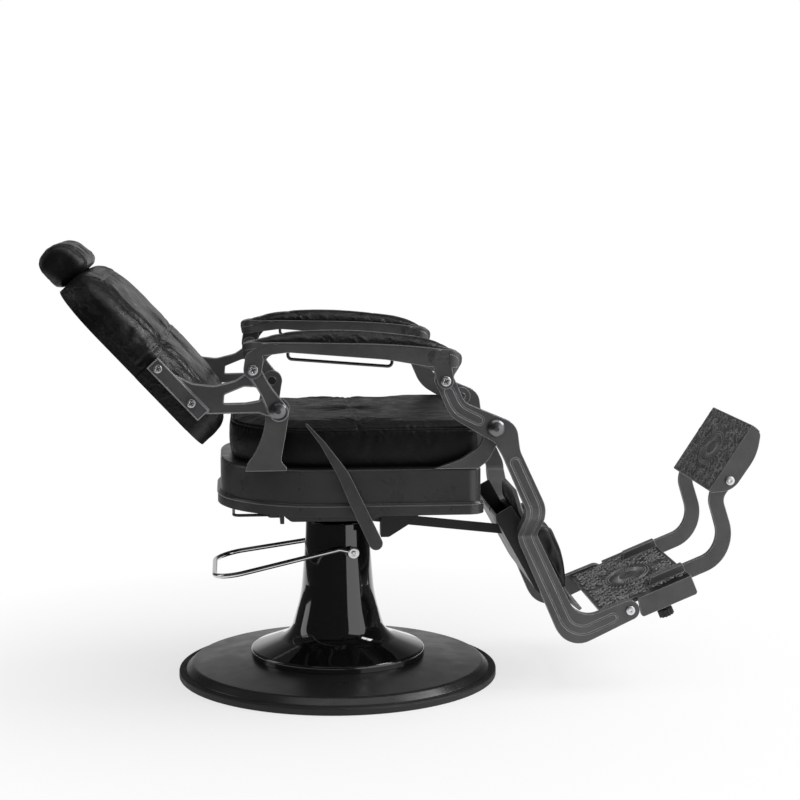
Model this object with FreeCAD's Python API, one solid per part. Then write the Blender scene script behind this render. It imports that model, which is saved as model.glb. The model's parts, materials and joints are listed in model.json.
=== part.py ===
import FreeCAD, Part
import math
import os

# Reclining barber chair with a hydraulic column, linked back, arms and leg rest.
# Frame: +X to the sitter's front, +Y to the sitter's left, +Z up, origin on the floor at the column's axis.
# Millimetres. The chair is drawn fully reclined and fully lowered.

V = FreeCAD.Vector

# Fits and gaps
running_fit = 0.05
flat_gap = 0.3
side_gap = 2.0

# Base disc with its rubber rim, and the pump's foot
base_radius = 325.0
rim_width = 14.0
rim_height = 15.0
rim_round = 4.0
rim_toe_round = 1.0
disc_wall = 4.0
disc_bevel_run = 14.0
disc_bevel_rise = 13.0
disc_crown_rise = 22.0
disc_floor_gap = 2.0
disc_bevel_round = 10.0
disc_edge_round = 3.0
foot_radius = 95.0
foot_thickness = 8.0

# Hydraulic pump and its shroud
ram_radius = 30.0
cylinder_wall = 15.0
cylinder_floor = 12.0
cylinder_top_gap = 18.0
flange_radius = 82.0
flange_thickness = 8.0
turned_edge = 2.0
base_bolt_radius = 5.0
base_bolt_head = 8.5
base_bolt_head_height = 5.0
base_bolt_circle = 66.0
base_bolt_count = 4
bolt_hole_gap = 0.3
shroud_height = 318.0
shroud_wall = 3.0
shroud_top_radius = 64.5
shroud_waist_radius = 65.5
shroud_waist_height = 285.0
shroud_hip_radius = 75.0
shroud_hip_height = 165.0
shroud_flare_radius = 98.0
shroud_flare_height = 84.0
skirt_radius = 178.0
skirt_edge = 14.0
skirt_round = 8.0
shroud_flare_round = 45.0
shroud_hip_round = 250.0
shroud_waist_round = 300.0
shroud_lip_round = 1.5

# Pump lever, a bent wire loop on two pins
lever_pivot_x = 28.0
lever_pivot_height = 263.0
lever_pin_radius = 6.0
lever_pin_head = 10.0
lever_pin_head_thickness = 4.0
lever_boss_half = 12.0
lever_boss_reach = 45.0
lever_eye_radius = 11.0
lever_eye_inner = 70.0
lever_eye_width = 11.0
lever_wire_radius = 5.0
lever_knee_back = 28.0
lever_knee_rise = 7.0
lever_reach = 278.0
lever_drop = 40.0
lever_splay = 52.0
lever_knee_round = 14.0
lever_end_round = 50.0

# Ram and seat frame
shoulder_rise = 3.0
spigot_radius = 26.0
spigot_height = 108.0
spigot_top_gap = 4.0
collar_wall = 22.0
frame_plate_thickness = 12.0
frame_plate_rear = -135.0
frame_plate_front = 165.0
frame_plate_round = 20.0
rib_middle = 104.0
rib_thickness = 8.0
rib_rear_foot = -97.0
rib_front_foot = 62.0
rib_rear_step = 8.0
rib_rise = 12.0
rib_rear_rise = 12.0
rib_front_rise = 40.0
rib_front_step = 14.0
rib_rear_slant = 16.0
rib_round = 20.0
rib_heel_round = 12.0
web_thickness = 12.0
web_depth = 55.0
rear_web_rise = 6.7
frame_bolt_radius = 5.0
frame_bolt_head = 8.5
frame_bolt_head_height = 6.0
frame_bolt_inset = 45.0
frame_bolt_side = 40.0

# Seat pan, board and cushion
pan_half_width = 264.0
pan_front = 262.0
pan_rear = -236.0
pan_front_round = 26.0
pan_rear_round = 205.0
pan_bottom = 372.0
pan_height = 88.0
pan_wall = 5.0
pan_top_thickness = 8.0
pan_edge_round = 5.0
band_height = 25.0
band_reach = 6.0
band_round = 7.0
board_inset = 34.0
board_thickness = 9.0
cushion_inset = 20.0
cushion_front_inset = 4.0
cushion_thickness = 86.0
cushion_top_round = 14.0
cushion_bottom_round = 6.0

# Pivots of the recline linkage: back pivot, arm rear pin, leg rest pivot, arm front pin
back_pivot_x = -126.0
back_pivot_rise = 117.0
crank_reach_back = 47.0
crank_rise = 79.0
leg_pivot_x = 285.0
leg_pivot_rise = 79.0
leg_crank_back = 98.0
leg_crank_rise = 93.0
pivot_pin_radius = 9.0
cap_radius = 17.0
cap_rim = 4.0
cap_dome = 9.0
cap_shoulder_radius = 13.6
cap_shoulder_round = 6.0
cap_crown_radius = 5.0
cap_crown_round = 4.0
cap_edge_round = 1.5
arm_pin_radius = 6.0
arm_pin_head = 9.0
arm_pin_head_thickness = 3.5
open_pin_gap = 1.8

# Rear posts and front wings on the pan's rim
post_thickness = 14.0
post_boss = 22.0
post_foot_back = 62.0
post_foot_front = 16.0
post_foot_rise = 6.0
post_toe_back = 58.0
post_toe_rise = 13.0
post_toe_round = 3.0
post_flare_back = 27.0
post_flare_drop = 57.0
post_flare_round = 160.0
post_waist_front = 14.0
post_waist_drop = 50.0
post_waist_round = 120.0
post_ankle_front = 5.0
post_ankle_rise = 19.0
post_ankle_round = 12.0
wing_boss = 20.0
wing_tip_back = 114.0
wing_foot_back = 30.0
wing_sweep_back = 66.0
wing_sweep_rise = 16.0
wing_neck_back = 18.0
wing_neck_drop = 32.0
wing_throat_back = 10.0
wing_round = 60.0
wing_neck_round = 40.0

# Back brackets
bracket_thickness = 18.0
bracket_web_step = 4.0
bracket_boss = 21.0
bracket_pin_boss = 15.0
bracket_bar_width = 28.0
bracket_bar_low = 54.0
bracket_bar_high = 190.0
bracket_bar_depth = 44.0
bracket_screw_low = 86.0
bracket_screw_high = 175.0
bracket_screw_radius = 4.0
bracket_screw_head = 7.5
bracket_screw_head_height = 3.0
bracket_screw_length = 40.0
crank_waist = 11.0
crank_waist_round = 200.0

# Bracket web and its window, corners (forward, up, rounding) from the back pivot
bracket_web_top = [(-194.0, 70.0, 0.0), (-159.0, 52.0, 30.0), (-119.0, 47.0, 40.0), (-79.0, 57.0, 25.0)]
bracket_web_low = [(-8.0, -14.0, 0.0), (-36.0, -4.0, 12.0), (-136.0, -5.0, 0.0)]
bracket_window = [(-100.0, 31.0, 3.0), (-63.0, 46.0, 12.0), (-40.0, 44.5, 7.0), (-29.5, 28.5, 6.0),
                  (-34.0, 19.0, 6.0), (-60.0, 14.6, 30.0), (-101.5, 14.0, 2.0)]

# Backrest and headrest, measured along and across the back panel
back_tilt = 47.0
back_foot_x = -135.0
back_foot_drop = 77.0
back_low = 10.0
back_length = 403.0
back_board_thickness = 18.0
back_cushion_depth = 60.0
back_top_round = 110.0
back_bottom_round = 40.0
back_edge_round = 36.0
back_flange_thickness = 4.0
head_gap = 2.0
head_plate_thickness = 6.0
head_plate_half_width = 60.0
head_plate_depth = 40.0
head_height = 71.0
head_depth = 64.0
head_set_back = 1.0
head_half_width = 130.0
head_round = 24.0
head_foot_round = 14.0
head_end_round = 12.0
stem_half_width = 19.0
stem_thickness = 6.0
stem_set_in = 4.0
stem_length = 165.0

# Arms
lug_thickness = 18.0
arm_width = 48.0
arm_pad_overhang = 4.0
arm_pad_thickness = 15.0
arm_end_round = 22.0
arm_lug_boss = 17.0
arm_front_boss = 15.0
arm_pad_edge = 1.0
arm_rear_lug = (3.0, 19.0)
arm_front_lug = (-7.0, 32.0)
arm_front_lug_half = 18.0

# Arm outline, corners (forward, up, rounding) from the arm's rear pin and from its front pin
arm_top_rear = [(-19.0, 36.0, 6.0), (85.0, 56.0, 260.0)]
arm_top_front = [(-110.0, 78.0, 400.0), (-15.0, 60.0, 160.0), (33.0, 41.0, 12.0)]
arm_under_front = [(20.0, 25.0, 8.0), (-30.0, 27.0, 60.0), (-110.0, 41.0, 300.0)]
arm_under_rear = [(66.0, 32.0, 60.0), (-16.0, 22.0, 3.0)]
towel_bar_radius = 3.0
towel_bar_drop = 11.0
towel_bar_bend = 8.0
towel_bar_socket = 6.0
towel_bar_length = 195.0

# Leg rest frame
leg_thickness = 18.0
leg_foot_middle = 176.0
leg_crank_half = 18.0
leg_foot_half = 19.0
joggle_top = 372.0
joggle_bottom = 318.0
joggle_round = 22.0
foot_pivot_forward = 285.0
foot_pivot_drop = 380.0

# Leg frame stations (forward, up, bend, half width) from the leg pivot, and its corner from the foot hinge
leg_stations = [(-73.0, 36.0, 45.0, 18.0), (19.0, -10.0, 12.0, 25.0), (31.0, -50.0, 60.0, 17.0),
                (78.0, -154.0, 40.0, 18.5), (77.0, -228.0, 60.0, 19.0)]
leg_corner = (-115.0, -51.0, 40.0, 24.0)
leg_knee_outer_round = 34.0
leg_knee_inner_round = 12.0
leg_corner_inner_round = 45.0
leg_corner_outer_round = 50.0

# Grooves that leave ribs on the leg frame's outer face; their corners (forward, up, bend) from the leg pivot
groove_reach = 8.5
groove_width = 3.0
groove_depth = 1.5
crank_groove = [(-88.0, 70.0, 0.0), (-73.0, 36.0, 45.0), (-32.0, 15.5, 0.0)]
leg_groove_top = (38.0, -66.0, 0.0)
leg_groove_end_share = 0.3

# Calf unit, measured along and across its rear panel
calf_tilt = 61.0
calf_origin_forward = 63.0
calf_origin_drop = 277.0
calf_tray_top = -100.0
calf_tray_bottom = 95.0
calf_tray_wall = 6.0
calf_tray_depth = 40.0
calf_tray_round = 30.0
calf_tray_top_round = 10.0
calf_bolt_inset = 12.0
calf_bolt_rise = 70.0
calf_bolt_low_rise = 24.0
calf_board_top = -52.0
calf_board_bottom = 124.0
calf_board_thickness = 8.0
calf_pad_half_width = 150.0
calf_pad_top = -34.0
calf_pad_bottom = 108.0
calf_pad_depth = 40.0
calf_pad_round = 20.0
calf_pad_toe = 13.0
calf_pad_taper = 56.0
calf_pad_fall = 7.0
calf_pad_crown_round = 150.0
calf_pad_side_round = 12.0
scroll_length = 66.0
scroll_seat = 14.0
scroll_curl = 12.0
scroll_curl_from = 30.0
scroll_curl_round = 40.0
scroll_thickness = 8.0
scroll_tip_half_width = 70.0
scroll_tip_round = 30.0
scroll_half_width = 118.0
leaf_along = 44.0
leaf_length = 36.0
leaf_width = 12.0
leaf_turn = 35.0
leaf_pitch = 27.0
leaf_count = 6
calf_bolt_radius = 5.0
calf_bolt_head = 8.0
calf_bolt_head_height = 4.0
calf_bolt_cover = 6.0

# Recline lock bar and its box
lock_side = 75.0
lock_bar_width = 8.0
lock_bar_half_height = 9.0
lock_bar_length = 262.0
lock_bar_slope = 6.5
lock_pin_radius = 5.0
lock_pin_along = -47.0
lock_pin_in = 6.0
lock_pin_half = 16.0
lock_ear = 12.0
lock_ear_round = 8.0
lock_slot_below = 18.0
lock_box_rear = 82.0
lock_box_front = 157.0
lock_box_half_width = 18.0
lock_box_depth = 143.0
lock_box_toe = 16.0
lock_box_slope = 37.0
lock_box_round = 10.0
lock_window_half_height = 26.0
lock_window_drop = 102.0

# Recline lever on its cross shaft
lever_blade_thickness = 6.0
lever_blade_gap = 9.0
lever_shaft_x = 7.0
lever_shaft_drop = 30.0
lever_shaft_radius = 7.0
lever_shaft_inside = 30.0
lever_collar_radius = 12.0
lever_collar_width = 6.0

# Recline blade stations (forward, up, bend, half width) from its shaft
recline_blade = [(-80.0, 120.0, 0.0, 2.0), (-50.0, 84.0, 80.0, 5.0), (-11.0, 24.0, 120.0, 10.5),
                 (15.0, -34.0, 150.0, 12.5), (50.0, -108.0, 0.0, 13.0)]

# Swivel lock handle under the rear of the seat
handle_wire_radius = 3.0
handle_half_width = 45.0
handle_reach = 75.0
handle_tail = 14.0
handle_round = 12.0
handle_elbow = 8.0
handle_lug_width = 8.0
handle_lug_radius = 9.0
handle_lug_side = 25.0

# Footplate, measured along and above its own slope from the hinge
foot_tilt = 22.4
plate_rear = -54.0
plate_front = 138.0
plate_top = 16.0
plate_thickness = 7.0
skirt_rear = 23.5
skirt_rear_low = 16.0
skirt_round = 6.0
skirt_bottom = -23.0
skirt_thickness = 8.0
hinge_boss_radius = 14.0
hinge_boss_width = 14.0
hinge_pin_radius = 5.0
hinge_pin_head = 8.5
hinge_pin_head_height = 4.0
sleeve_rear = 58.0
sleeve_ramp = 10.0
sleeve_wall = 4.0
sleeve_roof = 2.0
sleeve_gap = 0.5

# Foot extension bars and foot pad
bar_side = 127.0
bar_thickness = 12.0
bar_half_height = 16.0
bar_rise = 12.0
bar_tail = 62.0
bar_tongue_tail = 2.0
bar_straight = 201.0
bar_lean_run = 24.0
bar_lean_rise = 46.0
bar_return_run = 25.0
bar_return_rise = 82.0
bar_tip_run = 25.0
bar_tip_rise = 36.0
bar_bend = 60.0
bar_knee_bend = 70.0
bar_neck_bend = 40.0
bar_knee_half = 15.2
bar_neck_half = 14.4
bar_boss = 16.0
bar_spacer = 12.8
pad_half_width = 150.0
pad_tilt = 57.0
pad_length = 157.0
pad_plate = 7.0
pad_wall = 5.0
pad_pivot_along = 40.0
pad_pivot_behind = 24.0
pad_skirt_depth = 24.0
pad_skirt_inset = 4.0
pad_belly_back = 45.0
pad_belly_depth = 43.0
pad_heel_along = -14.0
pad_heel_depth = 41.0
pad_face_round = 3.0
pad_tip_round = 16.0
pad_belly_round = 110.0
pad_heel_round = 45.0
pad_lip_depth = 20.0
pad_pin_radius = 5.0
pad_pin_head = 8.5
pad_pin_head_height = 4.0

# Clamp knobs under the footplate
knob_along = 72.0
knob_radius = 15.5
knob_height = 14.0
knob_top = -42.0
knob_flutes = 12
knob_flute_radius = 2.5
knob_stem_radius = 5.0


# Geometry helpers
def corner_parts(before, here, after, radius):
    """Start, middle and end of the arc that rounds one corner; a sharp corner has no middle."""
    back = before.sub(here).normalize()
    ahead = after.sub(here).normalize()
    half = back.getAngle(ahead) / 2.0
    if radius <= 0.0 or half > math.radians(89.9):
        return here, None, here
    run = radius / math.tan(half)
    inward = back.add(ahead).normalize()
    middle = here.add(inward * (radius / math.sin(half) - radius))
    return here.add(back * run), middle, here.add(ahead * run)


def joined_edges(parts, closed):
    """Arcs and straight runs through rounded corners."""
    edges = []
    count = len(parts)
    for i in range(count):
        start, middle, end = parts[i]
        if middle is not None:
            edges.append(Part.Arc(start, middle, end).toShape())
        if i == count - 1 and not closed:
            break
        target = parts[(i + 1) % count][0]
        if end.distanceToPoint(target) > 0.001:
            edges.append(Part.LineSegment(end, target).toShape())
    return edges


def closed_wire(points, radii):
    count = len(points)
    parts = [corner_parts(points[i - 1], points[i], points[(i + 1) % count], radii[i]) for i in range(count)]
    return Part.Wire(joined_edges(parts, True))


def open_wire(points, radii):
    parts = [(points[0], None, points[0])]
    for i in range(1, len(points) - 1):
        parts.append(corner_parts(points[i - 1], points[i], points[i + 1], radii[i]))
    parts.append((points[-1], None, points[-1]))
    return Part.Wire(joined_edges(parts, False))


def prism_y(outline, y_from, y_to):
    """Side-view outline of (x, z, radius) corners, carried from one y to another."""
    wire = closed_wire([V(x, y_from, z) for x, z, r in outline], [r for x, z, r in outline])
    return Part.Face(wire).extrude(V(0, y_to - y_from, 0))


def prism_z(outline, z_from, z_to):
    """Plan outline of (x, y, radius) corners, carried from one height to another."""
    wire = closed_wire([V(x, y, z_from) for x, y, r in outline], [r for x, y, r in outline])
    return Part.Face(wire).extrude(V(0, 0, z_to - z_from))


def prism_x(outline, x_from, x_to):
    """Front-view outline of (y, z, radius) corners, carried from one x to another."""
    wire = closed_wire([V(x_from, y, z) for y, z, r in outline], [r for y, z, r in outline])
    return Part.Face(wire).extrude(V(x_to - x_from, 0, 0))


def turned(profile):
    """Profile of (radius, z, rounding) corners turned about the Z axis."""
    wire = closed_wire([V(r, 0, z) for r, z, e in profile], [e for r, z, e in profile])
    return Part.Face(wire).revolve(V(0, 0, 0), V(0, 0, 1), 360)


def rod_y(x, z, radius, y_from, y_to):
    return Part.makeCylinder(radius, abs(y_to - y_from), V(x, min(y_from, y_to), z), V(0, 1, 0))


def rod_z(x, y, radius, z_from, z_to):
    return Part.makeCylinder(radius, z_to - z_from, V(x, y, z_from))


def block(x_from, x_to, y_from, y_to, z_from, z_to):
    return Part.makeBox(x_to - x_from, y_to - y_from, z_to - z_from, V(x_from, y_from, z_from))


def fused(shapes):
    return shapes[0].fuse(shapes[1:]).removeSplitter()


def mirrored(shape):
    return shape.mirror(V(0, 0, 0), V(0, 1, 0))


def pair(shape):
    """One piece on the right and its mirror image on the left."""
    return Part.makeCompound([shape, mirrored(shape)])


def rounded_at(shape, height, radius):
    """Round the edges that lie flat at one height."""
    edges = [e for e in shape.Edges
             if abs(e.BoundBox.ZMin - height) < 0.01 and abs(e.BoundBox.ZMax - height) < 0.01]
    return shape.makeFillet(radius, edges)


def swept_rod(points, radii, radius):
    """Round bar along straight runs joined by arcs."""
    path = open_wire(points, radii)
    ring = Part.Wire(Part.makeCircle(radius, points[0], points[1].sub(points[0])))
    return path.makePipe(Part.Face(ring))


def round_end(outline, i, j):
    """Round the edge between two neighbouring corners with arcs that meet in its middle."""
    points = [V(u, v, 0) for u, v, r in outline]
    half = points[i].distanceToPoint(points[j]) / 2
    for here, other, beyond in ((i, j, i - 1), (j, i, j + 1)):
        angle = points[other].sub(points[here]).getAngle(points[beyond].sub(points[here]))
        outline[here] = (points[here].x, points[here].y, half * math.tan(angle / 2))


def band(path, round_ends=(True, True)):
    """Outline of a band with (u, v, radius, half width) stations; a round end is centred on its station."""
    count = len(path)
    left = []
    right = []
    for i in range(count):
        u, v, radius, half = path[i]
        here = V(u, v, 0)
        if i > 0:
            arrive = here.sub(V(path[i - 1][0], path[i - 1][1], 0)).normalize()
        if i < count - 1:
            leave = V(path[i + 1][0], path[i + 1][1], 0).sub(here).normalize()
        if i == 0:
            shift = leave * (-half) if round_ends[0] else V(0, 0, 0)
            normal = V(-leave.y, leave.x, 0)
            bend = (0.0, 0.0)
        elif i == count - 1:
            shift = arrive * half if round_ends[1] else V(0, 0, 0)
            normal = V(-arrive.y, arrive.x, 0)
            bend = (0.0, 0.0)
        else:
            shift = V(0, 0, 0)
            bisector = arrive.add(leave).normalize()
            normal = V(-bisector.y, bisector.x, 0) * (1.0 / bisector.dot(arrive))
            turn = 1.0 if arrive.x * leave.y - arrive.y * leave.x > 0 else -1.0
            bend = (max(radius - turn * half, 1.0), max(radius + turn * half, 1.0))
        edge = here.add(shift)
        left.append((edge.x + normal.x * half, edge.y + normal.y * half, bend[0]))
        right.append((edge.x - normal.x * half, edge.y - normal.y * half, bend[1]))
    outline = left + right[::-1]
    if round_ends[0]:
        round_end(outline, 2 * count - 1, 0)
    if round_ends[1]:
        round_end(outline, count - 1, count)
    return outline


def moved(origin, outline):
    """Carry corners given from a point to side-view corners."""
    return [(origin[0] + u, origin[1] + v, r) for u, v, r in outline]


def on_axes(origin, tilt, outline):
    """Carry (along, across, radius) corners to side-view corners; along points up the tilt."""
    c, s = math.cos(math.radians(tilt)), math.sin(math.radians(tilt))
    return [(origin[0] + c * u - s * w, origin[1] + s * u + c * w, r) for u, w, r in outline]


# Heights and side layers that several pieces share
crown_height = rim_height + disc_bevel_rise + disc_crown_rise
disc_radius = base_radius - rim_width
cylinder_radius = ram_radius + cylinder_wall
cylinder_height = shroud_height - cylinder_top_gap
shoulder_height = shroud_height + shoulder_rise
frame_bottom = shoulder_height + flat_gap
pan_top = pan_bottom + pan_height
frame_top = pan_top - pan_top_thickness
frame_plate_bottom = frame_top - frame_plate_thickness
rear_web_bottom = frame_bottom + rear_web_rise
post_inner = pan_half_width - post_thickness
link_inner = pan_half_width + side_gap
link_outer = link_inner + bracket_thickness
lug_inner = link_outer + side_gap
lug_outer = lug_inner + lug_thickness
arm_inner = lug_outer - arm_width
arm_middle = lug_outer - arm_width / 2
back_pivot = (back_pivot_x, pan_top + back_pivot_rise)
rear_pin = (back_pivot[0] - crank_reach_back, back_pivot[1] + crank_rise)
leg_pivot = (leg_pivot_x, pan_top + leg_pivot_rise)
front_pin = (leg_pivot[0] - leg_crank_back, leg_pivot[1] + leg_crank_rise)
foot_pivot = (leg_pivot[0] + foot_pivot_forward, leg_pivot[1] - foot_pivot_drop)
back_foot = (back_pivot[0] + back_foot_x, back_pivot[1] - back_foot_drop)
back_axis = 180.0 - back_tilt
calf_origin = (leg_pivot[0] + calf_origin_forward, leg_pivot[1] - calf_origin_drop)
calf_axis = -calf_tilt
leg_foot_inner = leg_foot_middle - leg_thickness / 2.0
leg_foot_outer = leg_foot_middle + leg_thickness / 2.0


def disc_top(radius):
    """Height of the disc's upper face between its bevel and the pump flange."""
    bevel_radius = disc_radius - disc_bevel_run
    share = (bevel_radius - radius) / (bevel_radius - flange_radius)
    return rim_height + disc_bevel_rise + share * disc_crown_rise


def at_back(outline):
    """Corners up the back panel and towards the sitter, carried to the side view."""
    return on_axes(back_foot, back_axis, [(u, -w, r) for u, w, r in outline])


def at_calf(outline):
    """Corners down the calf panel and forward of it, carried to the side view."""
    return on_axes(calf_origin, calf_axis, outline)


# Base and column
def base_rim():
    inner = disc_radius
    return turned([(inner, 0, 0), (base_radius, 0, rim_toe_round), (base_radius, rim_height, rim_round),
                   (inner, rim_height, 0)])


def base_disc():
    bevel_radius = disc_radius - disc_bevel_run
    bevel_top = rim_height + disc_bevel_rise
    bore = cylinder_radius + side_gap
    shape = turned([
        (disc_radius, disc_floor_gap, 0), (disc_radius, rim_height, disc_edge_round),
        (bevel_radius, bevel_top, disc_bevel_round),
        (flange_radius, crown_height, 0), (bore, crown_height, 0),
        (bore, crown_height - disc_wall, 0), (flange_radius, crown_height - disc_wall, 0),
        (bevel_radius - disc_wall / 2, bevel_top - disc_wall, disc_bevel_round),
        (disc_radius - disc_wall, rim_height - disc_wall / 2, disc_edge_round),
        (disc_radius - disc_wall, disc_floor_gap, 0)])
    return shape.cut(bolt_circle(base_bolt_radius + bolt_hole_gap, 0, crown_height * 2))


def bolt_circle(radius, z_from, z_to):
    bolts = []
    for i in range(base_bolt_count):
        angle = math.pi * (2 * i + 1) / base_bolt_count
        x = base_bolt_circle * math.cos(angle)
        y = base_bolt_circle * math.sin(angle)
        bolts.append(rod_z(x, y, radius, z_from, z_to))
    return Part.makeCompound(bolts)


def base_bolts():
    seat = crown_height + flange_thickness
    shanks = bolt_circle(base_bolt_radius, crown_height - disc_wall, seat).Solids
    heads = bolt_circle(base_bolt_head, seat, seat + base_bolt_head_height).Solids
    return Part.makeCompound([shank.fuse(head).removeSplitter() for shank, head in zip(shanks, heads)])


def pump_foot():
    return turned([(0, 0, 0), (foot_radius, 0, 0), (foot_radius, foot_thickness, turned_edge),
                   (0, foot_thickness, 0)])


def pump_cylinder():
    seat = crown_height
    bore = ram_radius + running_fit
    shape = turned([
        (0, foot_thickness, 0), (cylinder_radius, foot_thickness, 0), (cylinder_radius, seat, 0),
        (flange_radius, seat, 0), (flange_radius, seat + flange_thickness, turned_edge),
        (cylinder_radius, seat + flange_thickness, turned_edge),
        (cylinder_radius, cylinder_height, turned_edge),
        (bore, cylinder_height, 0), (bore, foot_thickness + cylinder_floor, 0),
        (0, foot_thickness + cylinder_floor, 0)])
    boss = block(lever_pivot_x - lever_boss_half, lever_pivot_x + lever_boss_half,
                 -lever_boss_reach, lever_boss_reach,
                 lever_pivot_height - lever_boss_half, lever_pivot_height + lever_boss_half)
    bore_rod = rod_z(0, 0, bore, foot_thickness + cylinder_floor, cylinder_height)
    shape = shape.fuse(boss).cut(bore_rod)
    holes = bolt_circle(base_bolt_radius + bolt_hole_gap, seat, seat + flange_thickness)
    return shape.cut(holes).removeSplitter()


def column_shroud():
    wall = shroud_wall
    seat = disc_top(skirt_radius - wall) + running_fit
    outer = [(skirt_radius, seat, 0), (skirt_radius, seat + skirt_edge, skirt_round),
             (shroud_flare_radius, shroud_flare_height, shroud_flare_round),
             (shroud_hip_radius, shroud_hip_height, shroud_hip_round),
             (shroud_waist_radius, shroud_waist_height, shroud_waist_round),
             (shroud_top_radius, shroud_height, shroud_lip_round)]
    inner = [(shroud_top_radius - wall, shroud_height, 0),
             (shroud_waist_radius - wall, shroud_waist_height, shroud_waist_round),
             (shroud_hip_radius - wall, shroud_hip_height, shroud_hip_round),
             (shroud_flare_radius - wall, shroud_flare_height - wall, shroud_flare_round),
             (skirt_radius - wall, seat + skirt_edge - wall, skirt_round - wall),
             (skirt_radius - wall, seat, 0)]
    holes = rod_y(lever_pivot_x, lever_pivot_height, lever_pin_radius + side_gap, -skirt_radius, skirt_radius)
    return turned(outer + inner).cut(holes)


def lever_pins():
    head_from = lever_eye_inner + lever_eye_width + flat_gap
    head_to = head_from + lever_pin_head_thickness
    shank = rod_y(lever_pivot_x, lever_pivot_height, lever_pin_radius, -head_to, -lever_boss_reach)
    head = rod_y(lever_pivot_x, lever_pivot_height, lever_pin_head, -head_to, -head_from)
    return pair(fused([shank, head]))


def pump_lever():
    middle = lever_eye_inner + lever_eye_width / 2
    knee = (lever_pivot_x - lever_knee_back, middle, lever_pivot_height + lever_knee_rise)
    corner = (lever_pivot_x - lever_reach, middle + lever_splay, lever_pivot_height - lever_drop)
    start = (lever_pivot_x - lever_pin_radius - lever_wire_radius / 2, middle,
             lever_pivot_height + lever_wire_radius / 2)
    right = [V(x, -y, z) for x, y, z in (start, knee, corner)]
    left = [V(p.x, -p.y, p.z) for p in right[::-1]]
    radii = [0, lever_knee_round, lever_end_round, lever_end_round, lever_knee_round, 0]
    loop = swept_rod(right + left, radii, lever_wire_radius)
    eye = rod_y(lever_pivot_x, lever_pivot_height, lever_eye_radius,
                -lever_eye_inner - lever_eye_width, -lever_eye_inner)
    bore = rod_y(lever_pivot_x, lever_pivot_height, lever_pin_radius + running_fit,
                 -skirt_radius, skirt_radius)
    return loop.fuse([eye, mirrored(eye)]).cut(bore).removeSplitter()


def ram():
    bottom = foot_thickness + cylinder_floor + flat_gap
    top = shoulder_height + spigot_height
    return turned([(0, bottom, 0), (ram_radius, bottom, turned_edge), (ram_radius, shoulder_height, 0),
                   (spigot_radius, shoulder_height, 0), (spigot_radius, top, turned_edge), (0, top, 0)])


# Seat frame, pan and cushion
def frame_bolt_places():
    along = [frame_plate_rear + frame_bolt_inset, frame_plate_front - frame_bolt_inset]
    return [(x, y) for x in along for y in (-frame_bolt_side, frame_bolt_side)]


def seat_frame():
    half = rib_middle + rib_thickness / 2
    inner = rib_middle - rib_thickness / 2
    rear, front = frame_plate_rear, frame_plate_front
    corners = [(rear, -half), (front, -half), (front, half), (rear, half)]
    plate = prism_z([(x, y, frame_plate_round) for x, y in corners], frame_plate_bottom, frame_top)
    collar = rod_z(0, 0, spigot_radius + collar_wall, frame_bottom, frame_plate_bottom)
    rib_bottom = frame_bottom + rib_rise
    rib_outline = [(frame_plate_rear + rib_rear_step, frame_plate_bottom, 0),
                   (rib_rear_foot - rib_rear_slant, rib_bottom + rib_rear_rise, rib_round),
                   (rib_rear_foot, rib_bottom, rib_heel_round), (rib_front_foot, rib_bottom, rib_round),
                   (frame_plate_front - rib_front_step, rib_bottom + rib_front_rise, rib_round),
                   (frame_plate_front - rib_front_step / 2, frame_plate_bottom, 0)]
    rib = prism_y(rib_outline, -half, -inner)
    web = block(-web_thickness / 2, web_thickness / 2, -inner, inner,
                frame_plate_bottom - web_depth, frame_plate_bottom)
    rear_from = frame_plate_rear + rib_rear_step + rib_thickness
    rear_web = block(rear_from, rear_from + rib_thickness, -inner, inner,
                     rear_web_bottom, frame_plate_bottom)
    lugs = [handle_lug(side, rear_from) for side in (-1, 1)]
    shape = fused([plate, collar, rib, mirrored(rib), web, rear_web] + lugs)
    bore_top = shoulder_height + spigot_height + spigot_top_gap
    bore = rod_z(0, 0, spigot_radius + running_fit, frame_bottom, bore_top)
    holes = [rod_z(x, y, frame_bolt_radius + bolt_hole_gap, frame_plate_bottom, frame_top)
             for x, y in frame_bolt_places()]
    rod = rod_y(handle_pivot()[0], handle_pivot()[1], handle_wire_radius + running_fit, -inner, inner)
    return shape.cut([bore, rod] + holes).removeSplitter()


def handle_pivot():
    x = frame_plate_rear + rib_rear_step - handle_lug_radius
    return x, rear_web_bottom + handle_lug_radius


def handle_lug(side, web_face):
    x, z = handle_pivot()
    y = side * handle_lug_side
    ear = rod_y(x, z, handle_lug_radius, y - handle_lug_width / 2, y + handle_lug_width / 2)
    arm = block(x, web_face, y - handle_lug_width / 2, y + handle_lug_width / 2,
                z - handle_lug_radius, z + handle_lug_radius)
    return ear.fuse(arm)


def swivel_lock_handle():
    x, z = handle_pivot()
    end = x - handle_reach
    side = handle_half_width
    points = [V(x, -handle_tail, z), V(x, -side, z), V(end, -side, z),
              V(end, side, z), V(x, side, z), V(x, handle_tail, z)]
    radii = [0, handle_elbow, handle_round, handle_round, handle_elbow, 0]
    return swept_rod(points, radii, handle_wire_radius)


def frame_bolts():
    bolts = []
    for x, y in frame_bolt_places():
        shank = rod_z(x, y, frame_bolt_radius, frame_plate_bottom, pan_top)
        head = rod_z(x, y, frame_bolt_head, frame_plate_bottom - frame_bolt_head_height, frame_plate_bottom)
        bolts.append(fused([shank, head]))
    return Part.makeCompound(bolts)


def seat_outline(inset, front_inset):
    """Plan outline of the seat: a round rear, straight sides and a flat front."""
    half = pan_half_width - inset
    front = pan_front - front_inset
    rear = pan_rear + inset
    front_round = max(pan_front_round - front_inset, pan_front_round / 2)
    rear_round = pan_rear_round - inset
    return [(front, -half, front_round), (front, half, front_round),
            (rear, half, rear_round), (rear, -half, rear_round)]


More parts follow.
